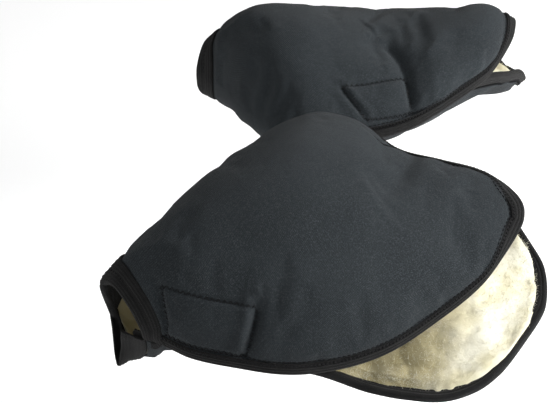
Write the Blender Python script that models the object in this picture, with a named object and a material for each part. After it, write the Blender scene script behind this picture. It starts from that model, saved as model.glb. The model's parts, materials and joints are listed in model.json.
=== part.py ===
"""A pair of padded hand muffs that close round the two handles of a stroller.

Each muff is two bound leaves, a top one and a bottom one, folded over the handle along a slanting
fold beside the cuff. Every leaf is a softshell shell, a layer of padding and a wool lining, and a
folded tape binds its edge. Two hook-and-loop closures hold the leaves together: one at the cuff on
the outer side, one half way along the inner side. With both undone, the bottom leaf swings down
about the fold.

Frame: metres, +Z up, +X from the cuffs to the hand openings. The origin lies between the two
handles' centre lines, level with them, where the cuffs start. The left muff is at -Y.
"""

import math
from functools import lru_cache

import bmesh
import bpy
from mathutils import Vector

MM = 0.001

# Handles that the muffs close round
HANDLE_SPACING = 352 * MM
GRIP_RADIUS = 16.5 * MM
GRIP_CLEARANCE = 2.5 * MM

# Cloth layers of one leaf, in its full middle and along its flat sewn edge
SHELL = 1.2 * MM
PADDING = 4.0 * MM
PADDING_EDGE_SHARE = 0.25
LINING = 6.0 * MM
LINING_EDGE_SHARE = 0.25
GAP = 0.35 * MM
PLUMP_REACH = 62 * MM

# Edge binding, a folded tape
TAPE_WIDTH = 10.5 * MM
TAPE = 0.8 * MM

# Hook-and-loop patches
PATCH = 1.2 * MM

# One muff, in its own directions: along the handle, inward to the other muff, and up
TOP_LENGTH = 316 * MM
TOP_TIP_BULGE = 8 * MM
BOTTOM_LENGTH = 332 * MM
BOTTOM_TIP_BULGE = 13 * MM
OUTER_REACH = 50 * MM
INNER_REACH = 184 * MM
CROWN = 76 * MM
BELLY = 44 * MM
EDGE_RISE = 20 * MM
MOUTH_DROP = 30 * MM
CUFF_SLANT_REACH = 170 * MM
CUFF_GAP = 1 * MM

# Where the bottom leaf laps up inside the top leaf, under the closures
LAP_RUN = 30 * MM
EDGE_STUB = 1.5 * MM
EDGE_GAP = 3 * MM
LAP_EASE = 2.2 * MM
SEAM_GAP = 0.8 * MM
SEAM_EASE = 4.5 * MM

# The fold that the bottom leaf swings about
FOLD_START_SHARE = 0.05
FOLD_END_SHARE = 0.34
FOLD_GAP = 0.4 * MM
FOLD_MITRE_SHARE = 0.3
FOLD_STAND = 4 * MM

# Stations along a top leaf, as shares of its length, and the outline and dome at each of them
STATION_SHARES = (0.0, 0.09, 0.19, 0.32, 0.475, 0.6, 0.71, 0.82, 0.925, 1.0)
OUTER_SHARES = (None, 0.60, 0.80, 0.92, 1.0, 0.83, 0.51, -0.04, -0.66, -1.38)
OUTER_LEVEL_SHARES = (0.0, -0.05, 0.0, 0.0, 0.0, -0.1, -0.1, 0.0, 0.3, 0.6)
INNER_LEVEL_SHARES = (0.0, 0.05, 0.1, 0.2, 0.4, 0.4, 0.5, 0.8, 1.0, 1.0)
DOME_POWER_SHARES = (1.0, 1.1, 1.2, 1.3, 1.35, 1.35, 1.3, 1.2, 1.1, 1.0)
INNER_SHARES = {
    "left": (None, 0.36, 0.59, 0.82, 1.0, 0.985, 0.83, 0.755, 0.695, 0.60),
    "right": (None, 0.31, 0.54, 0.74, 0.84, 0.87, 0.87, 0.826, 0.75, 0.63),
}
CROWN_SHARES = {
    "left": (None, 0.55, 0.78, 0.91, 0.95, 0.86, 0.66, 0.47, 0.26, 0.11),
    "right": (None, 0.67, 0.97, 1.0, 0.84, 0.75, 0.73, 0.72, 0.62, 0.34),
}

# The bottom leaf: its free outline past the closures, and its belly, at its own stations
MOUTH_OUTER_SHARES = {
    "left": (0.72, 0.72, 0.72, 0.72, 0.76, 0.86, 0.98, 0.98, 0.62, 0.08),
    "right": (0.72, 0.72, 0.72, 0.72, 0.76, 0.86, 0.96, 0.82, 0.28, -0.3),
}
MOUTH_INNER_SHARES = (0.36, 0.36, 0.56, 0.76, 0.91, 0.885, 0.815, 0.76, 0.685, 0.54)
MOUTH_OUTER_LEVEL_SHARES = {
    "left": (0.8, 0.8, 0.8, 0.8, 0.9, 1.0, 1.0, 0.93, 0.8, 0.67),
    "right": (0.8, 0.8, 0.8, 0.8, 0.9, 1.0, 1.05, 1.1, 1.15, 1.2),
}
MOUTH_INNER_LEVEL_SHARES = {
    "left": (0.0, 0.0, 0.0, 0.0, 0.0, 0.0, 0.07, 0.13, 0.27, 0.4),
    "right": (0.0, 0.0, 0.0, 0.0, 0.0, 0.0, 0.0, -0.05, -0.15, -0.1),
}
BELLY_SHARES = {
    "left": (None, 1.4, 1.2, 1.05, 0.95, 0.6, 0.42, 0.32, 0.22, 0.13),
    "right": (None, 0.52, 0.56, 0.68, 0.82, 0.8, 0.78, 0.78, 0.66, 0.38),
}
BELLY_POWER_SHARES = {
    "left": (1.0, 1.0, 1.0, 1.0, 1.1, 1.2, 1.35, 1.5, 1.7, 2.0),
    "right": (1.0, 1.0, 1.0, 1.0, 1.1, 1.1, 1.1, 1.1, 1.1, 1.3),
}
OUTER_LAP_SHARES = (0.10, 0.22, 0.37, 0.52)
INNER_LAP_SHARES = {
    "left": (0.40, 0.54, 0.71, 0.85),
    "right": (0.40, 0.54, 0.78, 0.92),
}

# How each muff lies on its handle
DROOP_START_SHARE = 0.78
LAYS = {
    "left": {"turn": math.radians(18), "slip": -5 * MM, "bow": 0 * MM, "rise": 0 * MM,
             "droop": 0 * MM, "slack": 32 * MM, "slant": 38 * MM, "stretch_share": 1.008},
    "right": {"turn": math.radians(0), "slip": 36 * MM, "bow": -92 * MM, "rise": 15 * MM,
              "droop": 20 * MM, "slack": 0 * MM, "slant": 14 * MM, "stretch_share": 0.897},
}
SIGNS = {"left": -1, "right": 1}

# Rows of a leaf's grid, as shares of its unbound length
ROW_SHARES = (0.0, 0.07, 0.13, 0.20, 0.27, 0.345, 0.405, 0.47, 0.545, 0.62, 0.69, 0.755, 0.82,
              0.88, 0.945, 1.0)

# Mesh fineness, as counts
COLUMNS = 8
SECTION_STEPS = 96
BELLY_STEPS = 6
LAP_STEPS = 2
FOLD_STEPS = 12
HINGE_DISPLAY = 40 * MM

# Patches, as first and last row, first and last column of their leaf's grid
CUFF_HOOK_CELLS = (1, 5, 0, 2)
CUFF_LOOP_CELLS = (3, 5, 0, 1)
SIDE_HOOK_CELLS = (7, 10, 6, 8)
SIDE_LOOP_CELLS = (8, 10, 7, 8)

SURFACES = {
    "softshell": ((0.046, 0.053, 0.059), 0.82),
    "binding_tape": ((0.016, 0.017, 0.018), 0.75),
    "wool": ((0.86, 0.82, 0.66), 0.95),
    "wadding": ((0.80, 0.80, 0.78), 0.95),
    "hook_tape": ((0.012, 0.012, 0.013), 0.7),
    "loop_tape": ((0.02, 0.02, 0.022), 0.9),
}


def cuff_radius():
    """Outer radius of the shell where it goes round the handle."""
    return GRIP_RADIUS + GRIP_CLEARANCE + TAPE + leaf_depth(0.0)


def smooth(value, start, end):
    """0 before start, 1 after end, and an even curve between."""
    share = min(max((value - start) / (end - start), 0.0), 1.0)
    return share * share * (3 - 2 * share)


def through(stations, values, place):
    """A smooth curve through values at their stations, read at place."""
    last = len(stations) - 1
    place = min(max(place, stations[0]), stations[last])
    left = max(i for i in range(last) if stations[i] <= place)
    right = left + 1
    span = stations[right] - stations[left]

    def slope(i):
        before, after = max(i - 1, 0), min(i + 1, last)
        return (values[after] - values[before]) / (stations[after] - stations[before])

    t = (place - stations[left]) / span
    return ((2 * t**3 - 3 * t**2 + 1) * values[left] + (t**3 - 2 * t**2 + t) * span * slope(left)
            + (3 * t**2 - 2 * t**3) * values[right] + (t**3 - t**2) * span * slope(right))


def scaled(shares, size, first):
    """Shares as lengths, with the first station tied to the cuff."""
    return [first if share is None else share * size for share in shares]


def leaf_depth(full):
    """Thickness of a whole leaf where it is this full: 0 at its sewn edge, 1 in its middle."""
    return lining_start(full) + lining_thickness(full)


def padding_thickness(full):
    return PADDING * (PADDING_EDGE_SHARE + (1 - PADDING_EDGE_SHARE) * full)


def lining_thickness(full):
    return LINING * (LINING_EDGE_SHARE + (1 - LINING_EDGE_SHARE) * full)


def padding_start(_full):
    return SHELL + GAP


def lining_start(full):
    return padding_start(full) + padding_thickness(full) + GAP


def top_edges(side, x):
    """Outer and inner edge of the top leaf at x: inward place and height of each."""
    stations = [share * TOP_LENGTH for share in STATION_SHARES]
    radius = cuff_radius()
    outer = through(stations, scaled(OUTER_SHARES, -OUTER_REACH, -radius), x)
    inner = through(stations, scaled(INNER_SHARES[side], INNER_REACH, radius), x)
    outer_level = through(stations, scaled(OUTER_LEVEL_SHARES, EDGE_RISE, None), x)
    inner_level = through(stations, scaled(INNER_LEVEL_SHARES, EDGE_RISE, None), x)
    return outer, outer_level, inner, inner_level


def cuff_cut(side, x, w):
    """How far the slanting cuff pushes a point along the handle: most on the outer side."""
    fade = 1 - min(x / CUFF_SLANT_REACH, 1.0)
    across = min(max(0.5 - 0.5 * w / cuff_radius(), 0.0), 1.0)
    return LAYS[side]["slant"] * across * fade * fade


@lru_cache(maxsize=None)
def top_section(side, s):
    """The top leaf's section at share s of its length, from its outer to its inner edge."""
    x = s * TOP_LENGTH
    stations = [share * TOP_LENGTH for share in STATION_SHARES]
    outer, outer_level, inner, inner_level = top_edges(side, x)
    crown = through(stations, scaled(CROWN_SHARES[side], CROWN, cuff_radius()), x)
    power = through(stations, DOME_POWER_SHARES, x)
    points = []
    for step in range(SECTION_STEPS + 1):
        angle = math.pi * (step / SECTION_STEPS - 0.5)
        swing, dome = math.sin(angle), max(math.cos(angle), 0.0)
        w = (outer + inner) / 2 + (inner - outer) / 2 * swing
        z = (outer_level + inner_level) / 2 + (inner_level - outer_level) / 2 * swing
        tip = TOP_TIP_BULGE * dome * smooth(s, 0.8, 1.2) * 2
        points.append((x + tip + cuff_cut(side, x, w), w, z + crown * dome**power))
    return points


def lap(shares, x):
    """How far a closure's lap is up at x: 0 none, 1 full."""
    return (smooth(x, shares[0] * TOP_LENGTH, shares[1] * TOP_LENGTH)
            * (1 - smooth(x, shares[2] * TOP_LENGTH, shares[3] * TOP_LENGTH)))


def turning(shares, x):
    """How much the bottom leaf's edge twists at x, where its lap rises or falls."""
    share = lap(shares, x)
    return 4 * share * (1 - share)


def tuck(shares, x):
    """How far the bottom leaf's edge is set in from the top leaf's: it is in before it laps."""
    lead = (shares[1] - shares[0]) / 2
    return smooth(x, (shares[0] - lead) * TOP_LENGTH, shares[0] * TOP_LENGTH)


def inside_wall(side, x, run, at_inner, depth):
    """A point this deep inside the top leaf's wall at x, run up from the leaf's edge."""
    s = x / TOP_LENGTH
    width = section(side, "top", s)[1][-1]
    across = share_at(side, "top", s, width - run if at_inner else run)
    points = top_section(side, s)
    i = min(int(across * SECTION_STEPS), SECTION_STEPS - 1)
    before, after = Vector(points[i][1:]), Vector(points[i + 1][1:])
    over = (after - before).normalized()
    tilt = math.sqrt(1 - outward(side, "top", s, across).x ** 2)
    return before.lerp(after, across * SECTION_STEPS - i) + Vector((over.y, -over.x)) * depth / tilt


def lap_ends(side, x, shares, at_inner):
    """Where the bottom leaf's wall starts at x, and the steps from there up its lap."""
    outer, outer_level, inner, inner_level = top_edges(side, x)
    edge = Vector((inner, inner_level)) if at_inner else Vector((outer, outer_level))
    closure = 2 * PATCH + 3 * GAP + LAP_EASE
    lifted = []
    for step in range(LAP_STEPS + 1):
        run = LAP_RUN * lap(shares, x) * step / LAP_STEPS
        full = smooth(run, TAPE_WIDTH, PLUMP_REACH)
        lifted.append(inside_wall(side, x, run, at_inner, leaf_depth(full) + closure))
    drop = Vector((0, (0.0 if at_inner else EDGE_GAP) + EDGE_STUB))
    foot = edge.lerp(lifted[0], tuck(shares, x)) - drop
    return foot, [spot - lifted[0] for spot in lifted[1:]]


def bottom_section(side, s):
    """The bottom leaf's section at share s of its length, from its outer to its inner edge."""
    x = s * BOTTOM_LENGTH
    stations = [share * BOTTOM_LENGTH for share in STATION_SHARES]
    feet = []
    laps = []
    for at_inner, shares, reach, out_shares, level_shares in (
            (False, OUTER_LAP_SHARES, -OUTER_REACH, MOUTH_OUTER_SHARES[side],
             MOUTH_OUTER_LEVEL_SHARES[side]),
            (True, INNER_LAP_SHARES[side], INNER_REACH, MOUTH_INNER_SHARES,
             MOUTH_INNER_LEVEL_SHARES[side])):
        foot, lift = lap_ends(side, min(x, TOP_LENGTH), shares, at_inner)
        mouth = Vector((reach * through(stations, out_shares, x),
                        -MOUTH_DROP * through(stations, level_shares, x)
                        - LAYS[side]["droop"] * smooth(s, DROOP_START_SHARE, 1.0)))
        free = smooth(x, shares[2] * TOP_LENGTH, (2 * shares[3] - shares[2]) * TOP_LENGTH)
        feet.append(foot.lerp(mouth, free))
        laps.append(lift)
    cuff_belly = cuff_radius() + LAYS[side]["slack"]
    belly = through(stations, scaled(BELLY_SHARES[side], BELLY, cuff_belly), x)
    power = through(stations, BELLY_POWER_SHARES[side], x)
    points = []
    for step in range(BELLY_STEPS + 1):
        angle = math.pi * (step / BELLY_STEPS - 0.5)
        spot = feet[0].lerp(feet[1], 0.5 + 0.5 * math.sin(angle))
        points.append(spot - Vector((0, belly * max(math.cos(angle), 0.0) ** power)))
    stubs = [(points[0] - points[1]).normalized() * EDGE_STUB,
             (points[-1] - points[-2]).normalized() * EDGE_STUB]
    outer_lap = [points[0] + lift + stubs[0] for lift in reversed(laps[0])]
    inner_lap = [points[-1] + lift + stubs[1] for lift in laps[1]]
    points = outer_lap + points + inner_lap
    points = [point for i, point in enumerate(points)
              if i == 0 or (point - points[i - 1]).length > EDGE_STUB / 2]
    lengths = [0.0]
    for before, after in zip(points, points[1:]):
        lengths.append(lengths[-1] + (after - before).length)
    section = []
    for step in range(SECTION_STEPS + 1):
        share = step / SECTION_STEPS
        w = through(lengths, [point.x for point in points], share * lengths[-1])
        z = through(lengths, [point.y for point in points], share * lengths[-1])
        tip = BOTTOM_TIP_BULGE * math.sin(math.pi * share) * smooth(s, 0.8, 1.2) * 2
        section.append((x + tip + cuff_cut(side, x, w), w, z))
    return section


def placed(side, x, w, z):
    """A muff's own point in the pair's frame, as the muff lies on its handle."""
    lay = LAYS[side]
    inward = w * math.cos(lay["turn"]) - z * math.sin(lay["turn"])
    up = w * math.sin(lay["turn"]) + z * math.cos(lay["turn"])
    along = (x / TOP_LENGTH) ** 2
    inward += lay["bow"] * along
    up += lay["rise"] * along
    return Vector((lay["slip"] + lay["stretch_share"] * x,
                   SIGNS[side] * (HANDLE_SPACING / 2 - inward), up))


@lru_cache(maxsize=None)
def section(side, leaf, s):
    """A leaf's section in the pair's frame, with the length run up to each point."""
    raw = top_section(side, s) if leaf == "top" else bottom_section(side, s)
    points = [placed(side, *point) for point in raw]
    runs = [0.0]
    for before, after in zip(points, points[1:]):
        runs.append(runs[-1] + (after - before).length)
    return points, runs


def share_at(side, leaf, s, run):
    """The share across a section at this length from its outer edge."""
    runs = section(side, leaf, s)[1]
    run = min(max(run, 0.0), runs[-1])
    i = max(k for k in range(len(runs) - 1) if runs[k] <= run)
    return (i + (run - runs[i]) / (runs[i + 1] - runs[i])) / SECTION_STEPS


def run_at(side, leaf, s, across):
    """The length from a section's outer edge to this share across it."""
    runs = section(side, leaf, s)[1]
    i = min(int(across * SECTION_STEPS), SECTION_STEPS - 1)
    return runs[i] + (runs[i + 1] - runs[i]) * (across * SECTION_STEPS - i)


def leaf_length(leaf):
    return TOP_LENGTH if leaf == "top" else BOTTOM_LENGTH


def surface(side, leaf, s, across):
    """A point of the leaf's outer face, at share s along and share across its section."""
    points = section(side, leaf, s)[0]
    i = min(int(across * SECTION_STEPS), SECTION_STEPS - 1)
    return points[i].lerp(points[i + 1], across * SECTION_STEPS - i)


@lru_cache(maxsize=None)
def outward(side, leaf, s, across):
    """The direction out of the leaf's outer face."""
    step = 0.01
    s_low, s_high = max(s - step, 0.0), min(s + step, 1.0)
    a_low, a_high = max(across - step, 0.0), min(across + step, 1.0)
    along = surface(side, leaf, s_high, across) - surface(side, leaf, s_low, across)
    over = surface(side, leaf, s, a_high) - surface(side, leaf, s, a_low)
    normal = along.cross(over).normalized()
    return normal if (side == "left") == (leaf == "top") else -normal


def inside(side, leaf, s, across, depth):
    """A point this deep below the leaf's outer face."""
    return surface(side, leaf, s, across) - outward(side, leaf, s, across) * depth


def insets(side, leaf, s, clear, depth):
    """Shares of the section that lie inside the binding, or inside the fold's mitre, and clear."""
    width = section(side, leaf, s)[1][-1]
    start = FOLD_END_SHARE * TOP_LENGTH
    bound = smooth(s * leaf_length(leaf), start, start + TAPE_WIDTH)
    mitre = FOLD_GAP + FOLD_MITRE_SHARE * depth
    outer_clear, inner_clear = clear, clear
    if clear and leaf == "bottom":
        outer_clear += SEAM_EASE * turning(OUTER_LAP_SHARES, s * BOTTOM_LENGTH)
        inner_clear += SEAM_EASE * turning(INNER_LAP_SHARES[side], s * BOTTOM_LENGTH)
    inner = mitre * (1 - bound) + (TAPE_WIDTH + inner_clear) * bound
    return (share_at(side, leaf, s, TAPE_WIDTH + outer_clear),
            share_at(side, leaf, s, width - inner))


def row_place(leaf, row):
    """The share along the leaf of a row of its grid, between the bindings of cuff and tip."""
    margin = (TAPE_WIDTH + SEAM_GAP) / leaf_length(leaf)
    return margin + (1 - 2 * margin) * ROW_SHARES[row]


def leaf_place(side, leaf, row, column, depth):
    """Where a corner of the leaf's grid lies, as shares along and across the leaf."""
    s = row_place(leaf, row)
    first, last = insets(side, leaf, s, SEAM_GAP, depth)
    return s, first + (last - first) * column / COLUMNS


def fullness(side, leaf, s, across):
    """How plump the leaf is: 0 along its sewn edges, 1 in its middle."""
    run = run_at(side, leaf, s, across)
    width = section(side, leaf, s)[1][-1]
    length = leaf_length(leaf)
    return smooth(min(run, width - run, s * length, (1 - s) * length), TAPE_WIDTH, PLUMP_REACH)


def surface_material(name):
    """A plain Principled material for one kind of cloth."""
    material = bpy.data.materials.get(name) or bpy.data.materials.new(name)
    material.use_nodes = True
    colour, roughness = SURFACES[name]
    shader = material.node_tree.nodes["Principled BSDF"]
    shader.inputs["Base Color"].default_value = (*colour, 1)
    shader.inputs["Roughness"].default_value = roughness
    shader.inputs["Metallic"].default_value = 0
    return material


def slab(name, finish, rows, columns, face, back, parent):
    """A flat thick piece: a grid lofted from its back to its face, closed round the rim."""
    mesh = bpy.data.meshes.new(name)
    grid = bmesh.new()
    bmesh.ops.create_grid(grid, x_segments=rows, y_segments=columns, size=1.0)
    lifted = bmesh.ops.extrude_face_region(grid, geom=list(grid.faces), use_keep_orig=True)
    fronts = {item for item in lifted["geom"] if isinstance(item, bmesh.types.BMVert)}
    for vertex in grid.verts:
        place = face if vertex in fronts else back
        vertex.co = place((vertex.co.x + 1) / 2, (vertex.co.y + 1) / 2)
    bmesh.ops.recalc_face_normals(grid, faces=grid.faces)
    if grid.calc_volume(signed=True) < 0:
        bmesh.ops.reverse_faces(grid, faces=grid.faces)
    bmesh.ops.triangulate(grid, faces=grid.faces)
    grid.to_mesh(mesh)
    grid.free()
    mesh.materials.append(surface_material(finish))
    mesh.shade_smooth()
    mesh.set_sharp_from_angle(angle=math.radians(50))
    piece = bpy.data.objects.new(name, mesh)
    collection.objects.link(piece)
    if parent:
        piece.parent = parent
        piece.matrix_parent_inverse = parent.matrix_world.inverted()
    return piece


def cells(side, leaf, name, finish, bounds, start, thickness, parent):
    """A cloth piece over whole cells of its leaf's grid, start deep and this thick."""
    first_row, last_row, first_column, last_column = bounds

    def at(row_share, column_share, end):
        row = first_row + round((last_row - first_row) * row_share)
        column = first_column + round((last_column - first_column) * column_share)
        s, across = leaf_place(side, leaf, row, column, 0.0)
        full = fullness(side, leaf, s, across)
        depth = start(full) + end * thickness(full)
        s, across = leaf_place(side, leaf, row, column, depth)
        return inside(side, leaf, s, across, depth)

    return slab(f"{side}_{name}", finish, last_row - first_row, last_column - first_column,
                lambda row, column: at(row, column, 0), lambda row, column: at(row, column, 1),
                parent)


def strip(side, leaf, name, pairs, parent):
    """A folded tape over a leaf's edge, from pairs of places: on the edge, and a tape width in."""

    def at(run_share, width_share, depth):
        pair = pairs[round(run_share * (len(pairs) - 1))]
        s, across = pair[round(width_share)]
        return inside(side, leaf, s, across, depth)

    return slab(f"{side}_{leaf}_{name}", "binding_tape", len(pairs) - 1, 1,
                lambda run, width: at(run, width, -TAPE),
                lambda run, width: at(run, width, leaf_depth(0.0) + TAPE), parent)


def edge_pairs(side, leaf):
    """Places for the tape from the cuff along the outer edge, round the tip, to the fold."""
    margin = TAPE_WIDTH / leaf_length(leaf)
    fold = (FOLD_END_SHARE * TOP_LENGTH + TAPE_WIDTH) / leaf_length(leaf)
    rows = [row_place(leaf, row) for row in range(len(ROW_SHARES) - 1)]
    pairs = [((s, 0.0), (s, insets(side, leaf, s, 0.0, 0.0)[0])) for s in rows]
    first, last = insets(side, leaf, 1 - margin, 0.0, 0.0)
    for column in range(COLUMNS + 1):
        share = column / COLUMNS
        pairs.append(((1.0, share), (1 - margin, first + (last - first) * share)))
    for s in reversed(rows):
        if s >= fold:
            pairs.append(((s, 1.0), (s, insets(side, leaf, s, 0.0, 0.0)[1])))
    return pairs


def cuff_pairs(side, leaf):
    """Places for the tape round the cuff."""
    margin = TAPE_WIDTH / leaf_length(leaf)
    width = section(side, leaf, 0.0)[1][-1]
    ends = [share_at(side, leaf, 0.0, run) for run in (CUFF_GAP, width - CUFF_GAP)]
    middle = [leaf_place(side, leaf, 0, column, 0.0)[1] for column in range(COLUMNS)]
    return [((0.0, across), (margin, across)) for across in sorted(ends + middle)]


def fold_axis(side):
    """Two points of the line that the bottom leaf swings about, just outside the curved fold."""
    edge = []
    for step in range(FOLD_STEPS + 1):
        share = FOLD_START_SHARE + (FOLD_END_SHARE - FOLD_START_SHARE) * step / FOLD_STEPS
        x = share * TOP_LENGTH
        _outer, _outer_level, inner, inner_level = top_edges(side, x)
        edge.append(placed(side, x + cuff_cut(side, x, inner), inner, inner_level))
    direction = (edge[-1] - edge[0]).normalized()
    away = Vector((direction.y, -direction.x, 0)).normalized() * SIGNS[side]
    bulge = max((point - edge[0]).dot(away) for point in edge)
    return edge[0] + away * (FOLD_STAND + bulge), edge[-1] + away * (FOLD_STAND + bulge)


def fold_hinge(side):
    """The empty that carries a bottom leaf, on the fold's line, its X axis along it."""
    start, end = fold_axis(side)
    hinge = bpy.data.objects.new(f"{side}_fold_hinge", None)
    hinge.empty_display_size = HINGE_DISPLAY
    hinge.location = start
    hinge.rotation_mode = "QUATERNION"
    hinge.rotation_quaternion = (end - start).to_track_quat("X", "Z")
    collection.objects.link(hinge)
    bpy.context.view_layer.update()
    return hinge


def leaf_pieces(side, leaf, parent):
    """Shell, padding, lining and bindings of one leaf."""
    whole = (0, len(ROW_SHARES) - 1, 0, COLUMNS)
    cells(side, leaf, f"{leaf}_shell", "softshell", whole, lambda full: 0.0,
          lambda full: SHELL, parent)
    cells(side, leaf, f"{leaf}_padding", "wadding", whole, padding_start, padding_thickness,
          parent)
    cells(side, leaf, f"{leaf}_lining", "wool", whole, lining_start, lining_thickness, parent)
    strip(side, leaf, "binding", edge_pairs(side, leaf), parent)
    strip(side, leaf, "cuff_binding", cuff_pairs(side, leaf), parent)


def patch_thickness(_full):
    return PATCH


def hook_start(full):
    """A hook patch lies on the top leaf's lining."""
    return leaf_depth(full) + GAP


def loop_start(_full):
    """A loop patch lies on the bottom leaf's shell."""
    return -(PATCH + GAP)


def muff(side):
    """One whole muff: top leaf, bottom leaf on its fold, and the two closures."""
    hinge = fold_hinge(side)
    leaf_pieces(side, "top", None)
    leaf_pieces(side, "bottom", hinge)
    for place, hook_cells, loop_cells in (("cuff", CUFF_HOOK_CELLS, CUFF_LOOP_CELLS),
                                          ("side", SIDE_HOOK_CELLS, SIDE_LOOP_CELLS)):
        cells(side, "top", f"{place}_hook_patch", "hook_tape", hook_cells, hook_start,
              patch_thickness, None)
        cells(side, "bottom", f"{place}_loop_patch", "loop_tape", loop_cells, loop_start,
              patch_thickness, hinge)


for old in list(bpy.data.objects):
    bpy.data.objects.remove(old, do_unlink=True)

collection = bpy.data.collections.new("stroller_hand_muff")
bpy.context.scene.collection.children.link(collection)

for name in LAYS:
    muff(name)
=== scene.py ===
"""Looks of a pair of padded stroller hand muffs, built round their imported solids.

Each muff is a top and a bottom leaf. A leaf shows as a softshell cover, a wool lining, a ribbed
tape folded over its edge and rows of stitching. Cloth bridges the fold that joins the leaves.
All lengths are in metres, in the frame of the solids.
"""

import json
import math

import bmesh
import bpy
import numpy as np
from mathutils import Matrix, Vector


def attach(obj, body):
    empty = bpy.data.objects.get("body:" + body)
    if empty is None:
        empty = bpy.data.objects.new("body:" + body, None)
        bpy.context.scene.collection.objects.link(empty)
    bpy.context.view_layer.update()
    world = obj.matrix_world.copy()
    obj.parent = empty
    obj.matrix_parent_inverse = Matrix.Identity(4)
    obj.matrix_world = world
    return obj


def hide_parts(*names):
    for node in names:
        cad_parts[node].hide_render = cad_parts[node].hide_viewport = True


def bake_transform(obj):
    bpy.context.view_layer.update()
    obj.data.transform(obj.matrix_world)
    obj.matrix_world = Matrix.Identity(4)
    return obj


MM = 0.001

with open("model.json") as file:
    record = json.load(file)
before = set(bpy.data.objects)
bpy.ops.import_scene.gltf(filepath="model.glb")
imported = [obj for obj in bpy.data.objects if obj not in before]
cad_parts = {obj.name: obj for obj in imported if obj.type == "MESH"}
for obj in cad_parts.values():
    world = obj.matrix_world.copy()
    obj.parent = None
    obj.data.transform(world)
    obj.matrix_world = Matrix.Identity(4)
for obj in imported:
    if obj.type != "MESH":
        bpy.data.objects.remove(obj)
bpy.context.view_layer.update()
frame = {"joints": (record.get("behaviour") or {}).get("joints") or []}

# Sizes of the solids, repeated

HANDLE_SPACING = 352 * MM
GRIP_RADIUS = 16.5 * MM
GRIP_CLEARANCE = 2.5 * MM
SHELL = 1.2 * MM
PADDING = 4.0 * MM
PADDING_EDGE_SHARE = 0.25
LINING = 6.0 * MM
LINING_EDGE_SHARE = 0.25
GAP = 0.35 * MM
PLUMP_REACH = 62 * MM
TAPE_WIDTH = 10.5 * MM
TAPE = 0.8 * MM
PATCH = 1.2 * MM
TOP_LENGTH = 316 * MM
TOP_TIP_BULGE = 8 * MM
BOTTOM_LENGTH = 332 * MM
BOTTOM_TIP_BULGE = 13 * MM
OUTER_REACH = 50 * MM
INNER_REACH = 184 * MM
CROWN = 76 * MM
BELLY = 44 * MM
EDGE_RISE = 20 * MM
MOUTH_DROP = 30 * MM
CUFF_SLANT_REACH = 170 * MM
LAP_RUN = 30 * MM
EDGE_STUB = 1.5 * MM
EDGE_GAP = 3 * MM
LAP_EASE = 2.2 * MM
FOLD_END_SHARE = 0.34
DROOP_START_SHARE = 0.78

STATION_SHARES = (0.0, 0.09, 0.19, 0.32, 0.475, 0.6, 0.71, 0.82, 0.925, 1.0)
OUTER_SHARES = (None, 0.60, 0.80, 0.92, 1.0, 0.83, 0.51, -0.04, -0.66, -1.38)
OUTER_LEVEL_SHARES = (0.0, -0.05, 0.0, 0.0, 0.0, -0.1, -0.1, 0.0, 0.3, 0.6)
INNER_LEVEL_SHARES = (0.0, 0.05, 0.1, 0.2, 0.4, 0.4, 0.5, 0.8, 1.0, 1.0)
DOME_POWER_SHARES = (1.0, 1.1, 1.2, 1.3, 1.35, 1.35, 1.3, 1.2, 1.1, 1.0)
INNER_SHARES = {
    "left": (None, 0.36, 0.59, 0.82, 1.0, 0.985, 0.83, 0.755, 0.695, 0.60),
    "right": (None, 0.31, 0.54, 0.74, 0.84, 0.87, 0.87, 0.826, 0.75, 0.63),
}
CROWN_SHARES = {
    "left": (None, 0.55, 0.78, 0.91, 0.95, 0.86, 0.66, 0.47, 0.26, 0.11),
    "right": (None, 0.67, 0.97, 1.0, 0.84, 0.75, 0.73, 0.72, 0.62, 0.34),
}
MOUTH_OUTER_SHARES = {
    "left": (0.72, 0.72, 0.72, 0.72, 0.76, 0.86, 0.98, 0.98, 0.62, 0.08),
    "right": (0.72, 0.72, 0.72, 0.72, 0.76, 0.86, 0.96, 0.82, 0.28, -0.3),
}
MOUTH_INNER_SHARES = (0.36, 0.36, 0.56, 0.76, 0.91, 0.885, 0.815, 0.76, 0.685, 0.54)
MOUTH_OUTER_LEVEL_SHARES = {
    "left": (0.8, 0.8, 0.8, 0.8, 0.9, 1.0, 1.0, 0.93, 0.8, 0.67),
    "right": (0.8, 0.8, 0.8, 0.8, 0.9, 1.0, 1.05, 1.1, 1.15, 1.2),
}
MOUTH_INNER_LEVEL_SHARES = {
    "left": (0.0, 0.0, 0.0, 0.0, 0.0, 0.0, 0.07, 0.13, 0.27, 0.4),
    "right": (0.0, 0.0, 0.0, 0.0, 0.0, 0.0, 0.0, -0.05, -0.15, -0.1),
}
BELLY_SHARES = {
    "left": (None, 1.4, 1.2, 1.05, 0.95, 0.6, 0.42, 0.32, 0.22, 0.13),
    "right": (None, 0.52, 0.56, 0.68, 0.82, 0.8, 0.78, 0.78, 0.66, 0.38),
}
BELLY_POWER_SHARES = {
    "left": (1.0, 1.0, 1.0, 1.0, 1.1, 1.2, 1.35, 1.5, 1.7, 2.0),
    "right": (1.0, 1.0, 1.0, 1.0, 1.1, 1.1, 1.1, 1.1, 1.1, 1.3),
}
OUTER_LAP_SHARES = (0.10, 0.22, 0.37, 0.52)
INNER_LAP_SHARES = {
    "left": (0.40, 0.54, 0.71, 0.85),
    "right": (0.40, 0.54, 0.78, 0.92),
}
LAYS = {
    "left": {"turn": math.radians(18), "slip": -5 * MM, "bow": 0.0, "rise": 0.0,
             "droop": 0.0, "slack": 32 * MM, "slant": 38 * MM, "stretch_share": 1.008},
    "right": {"turn": 0.0, "slip": 36 * MM, "bow": -92 * MM, "rise": 15 * MM,
              "droop": 20 * MM, "slack": 0.0, "slant": 14 * MM, "stretch_share": 0.897},
}
SIGNS = {"left": -1, "right": 1}
SECTION_STEPS = 96
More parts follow.
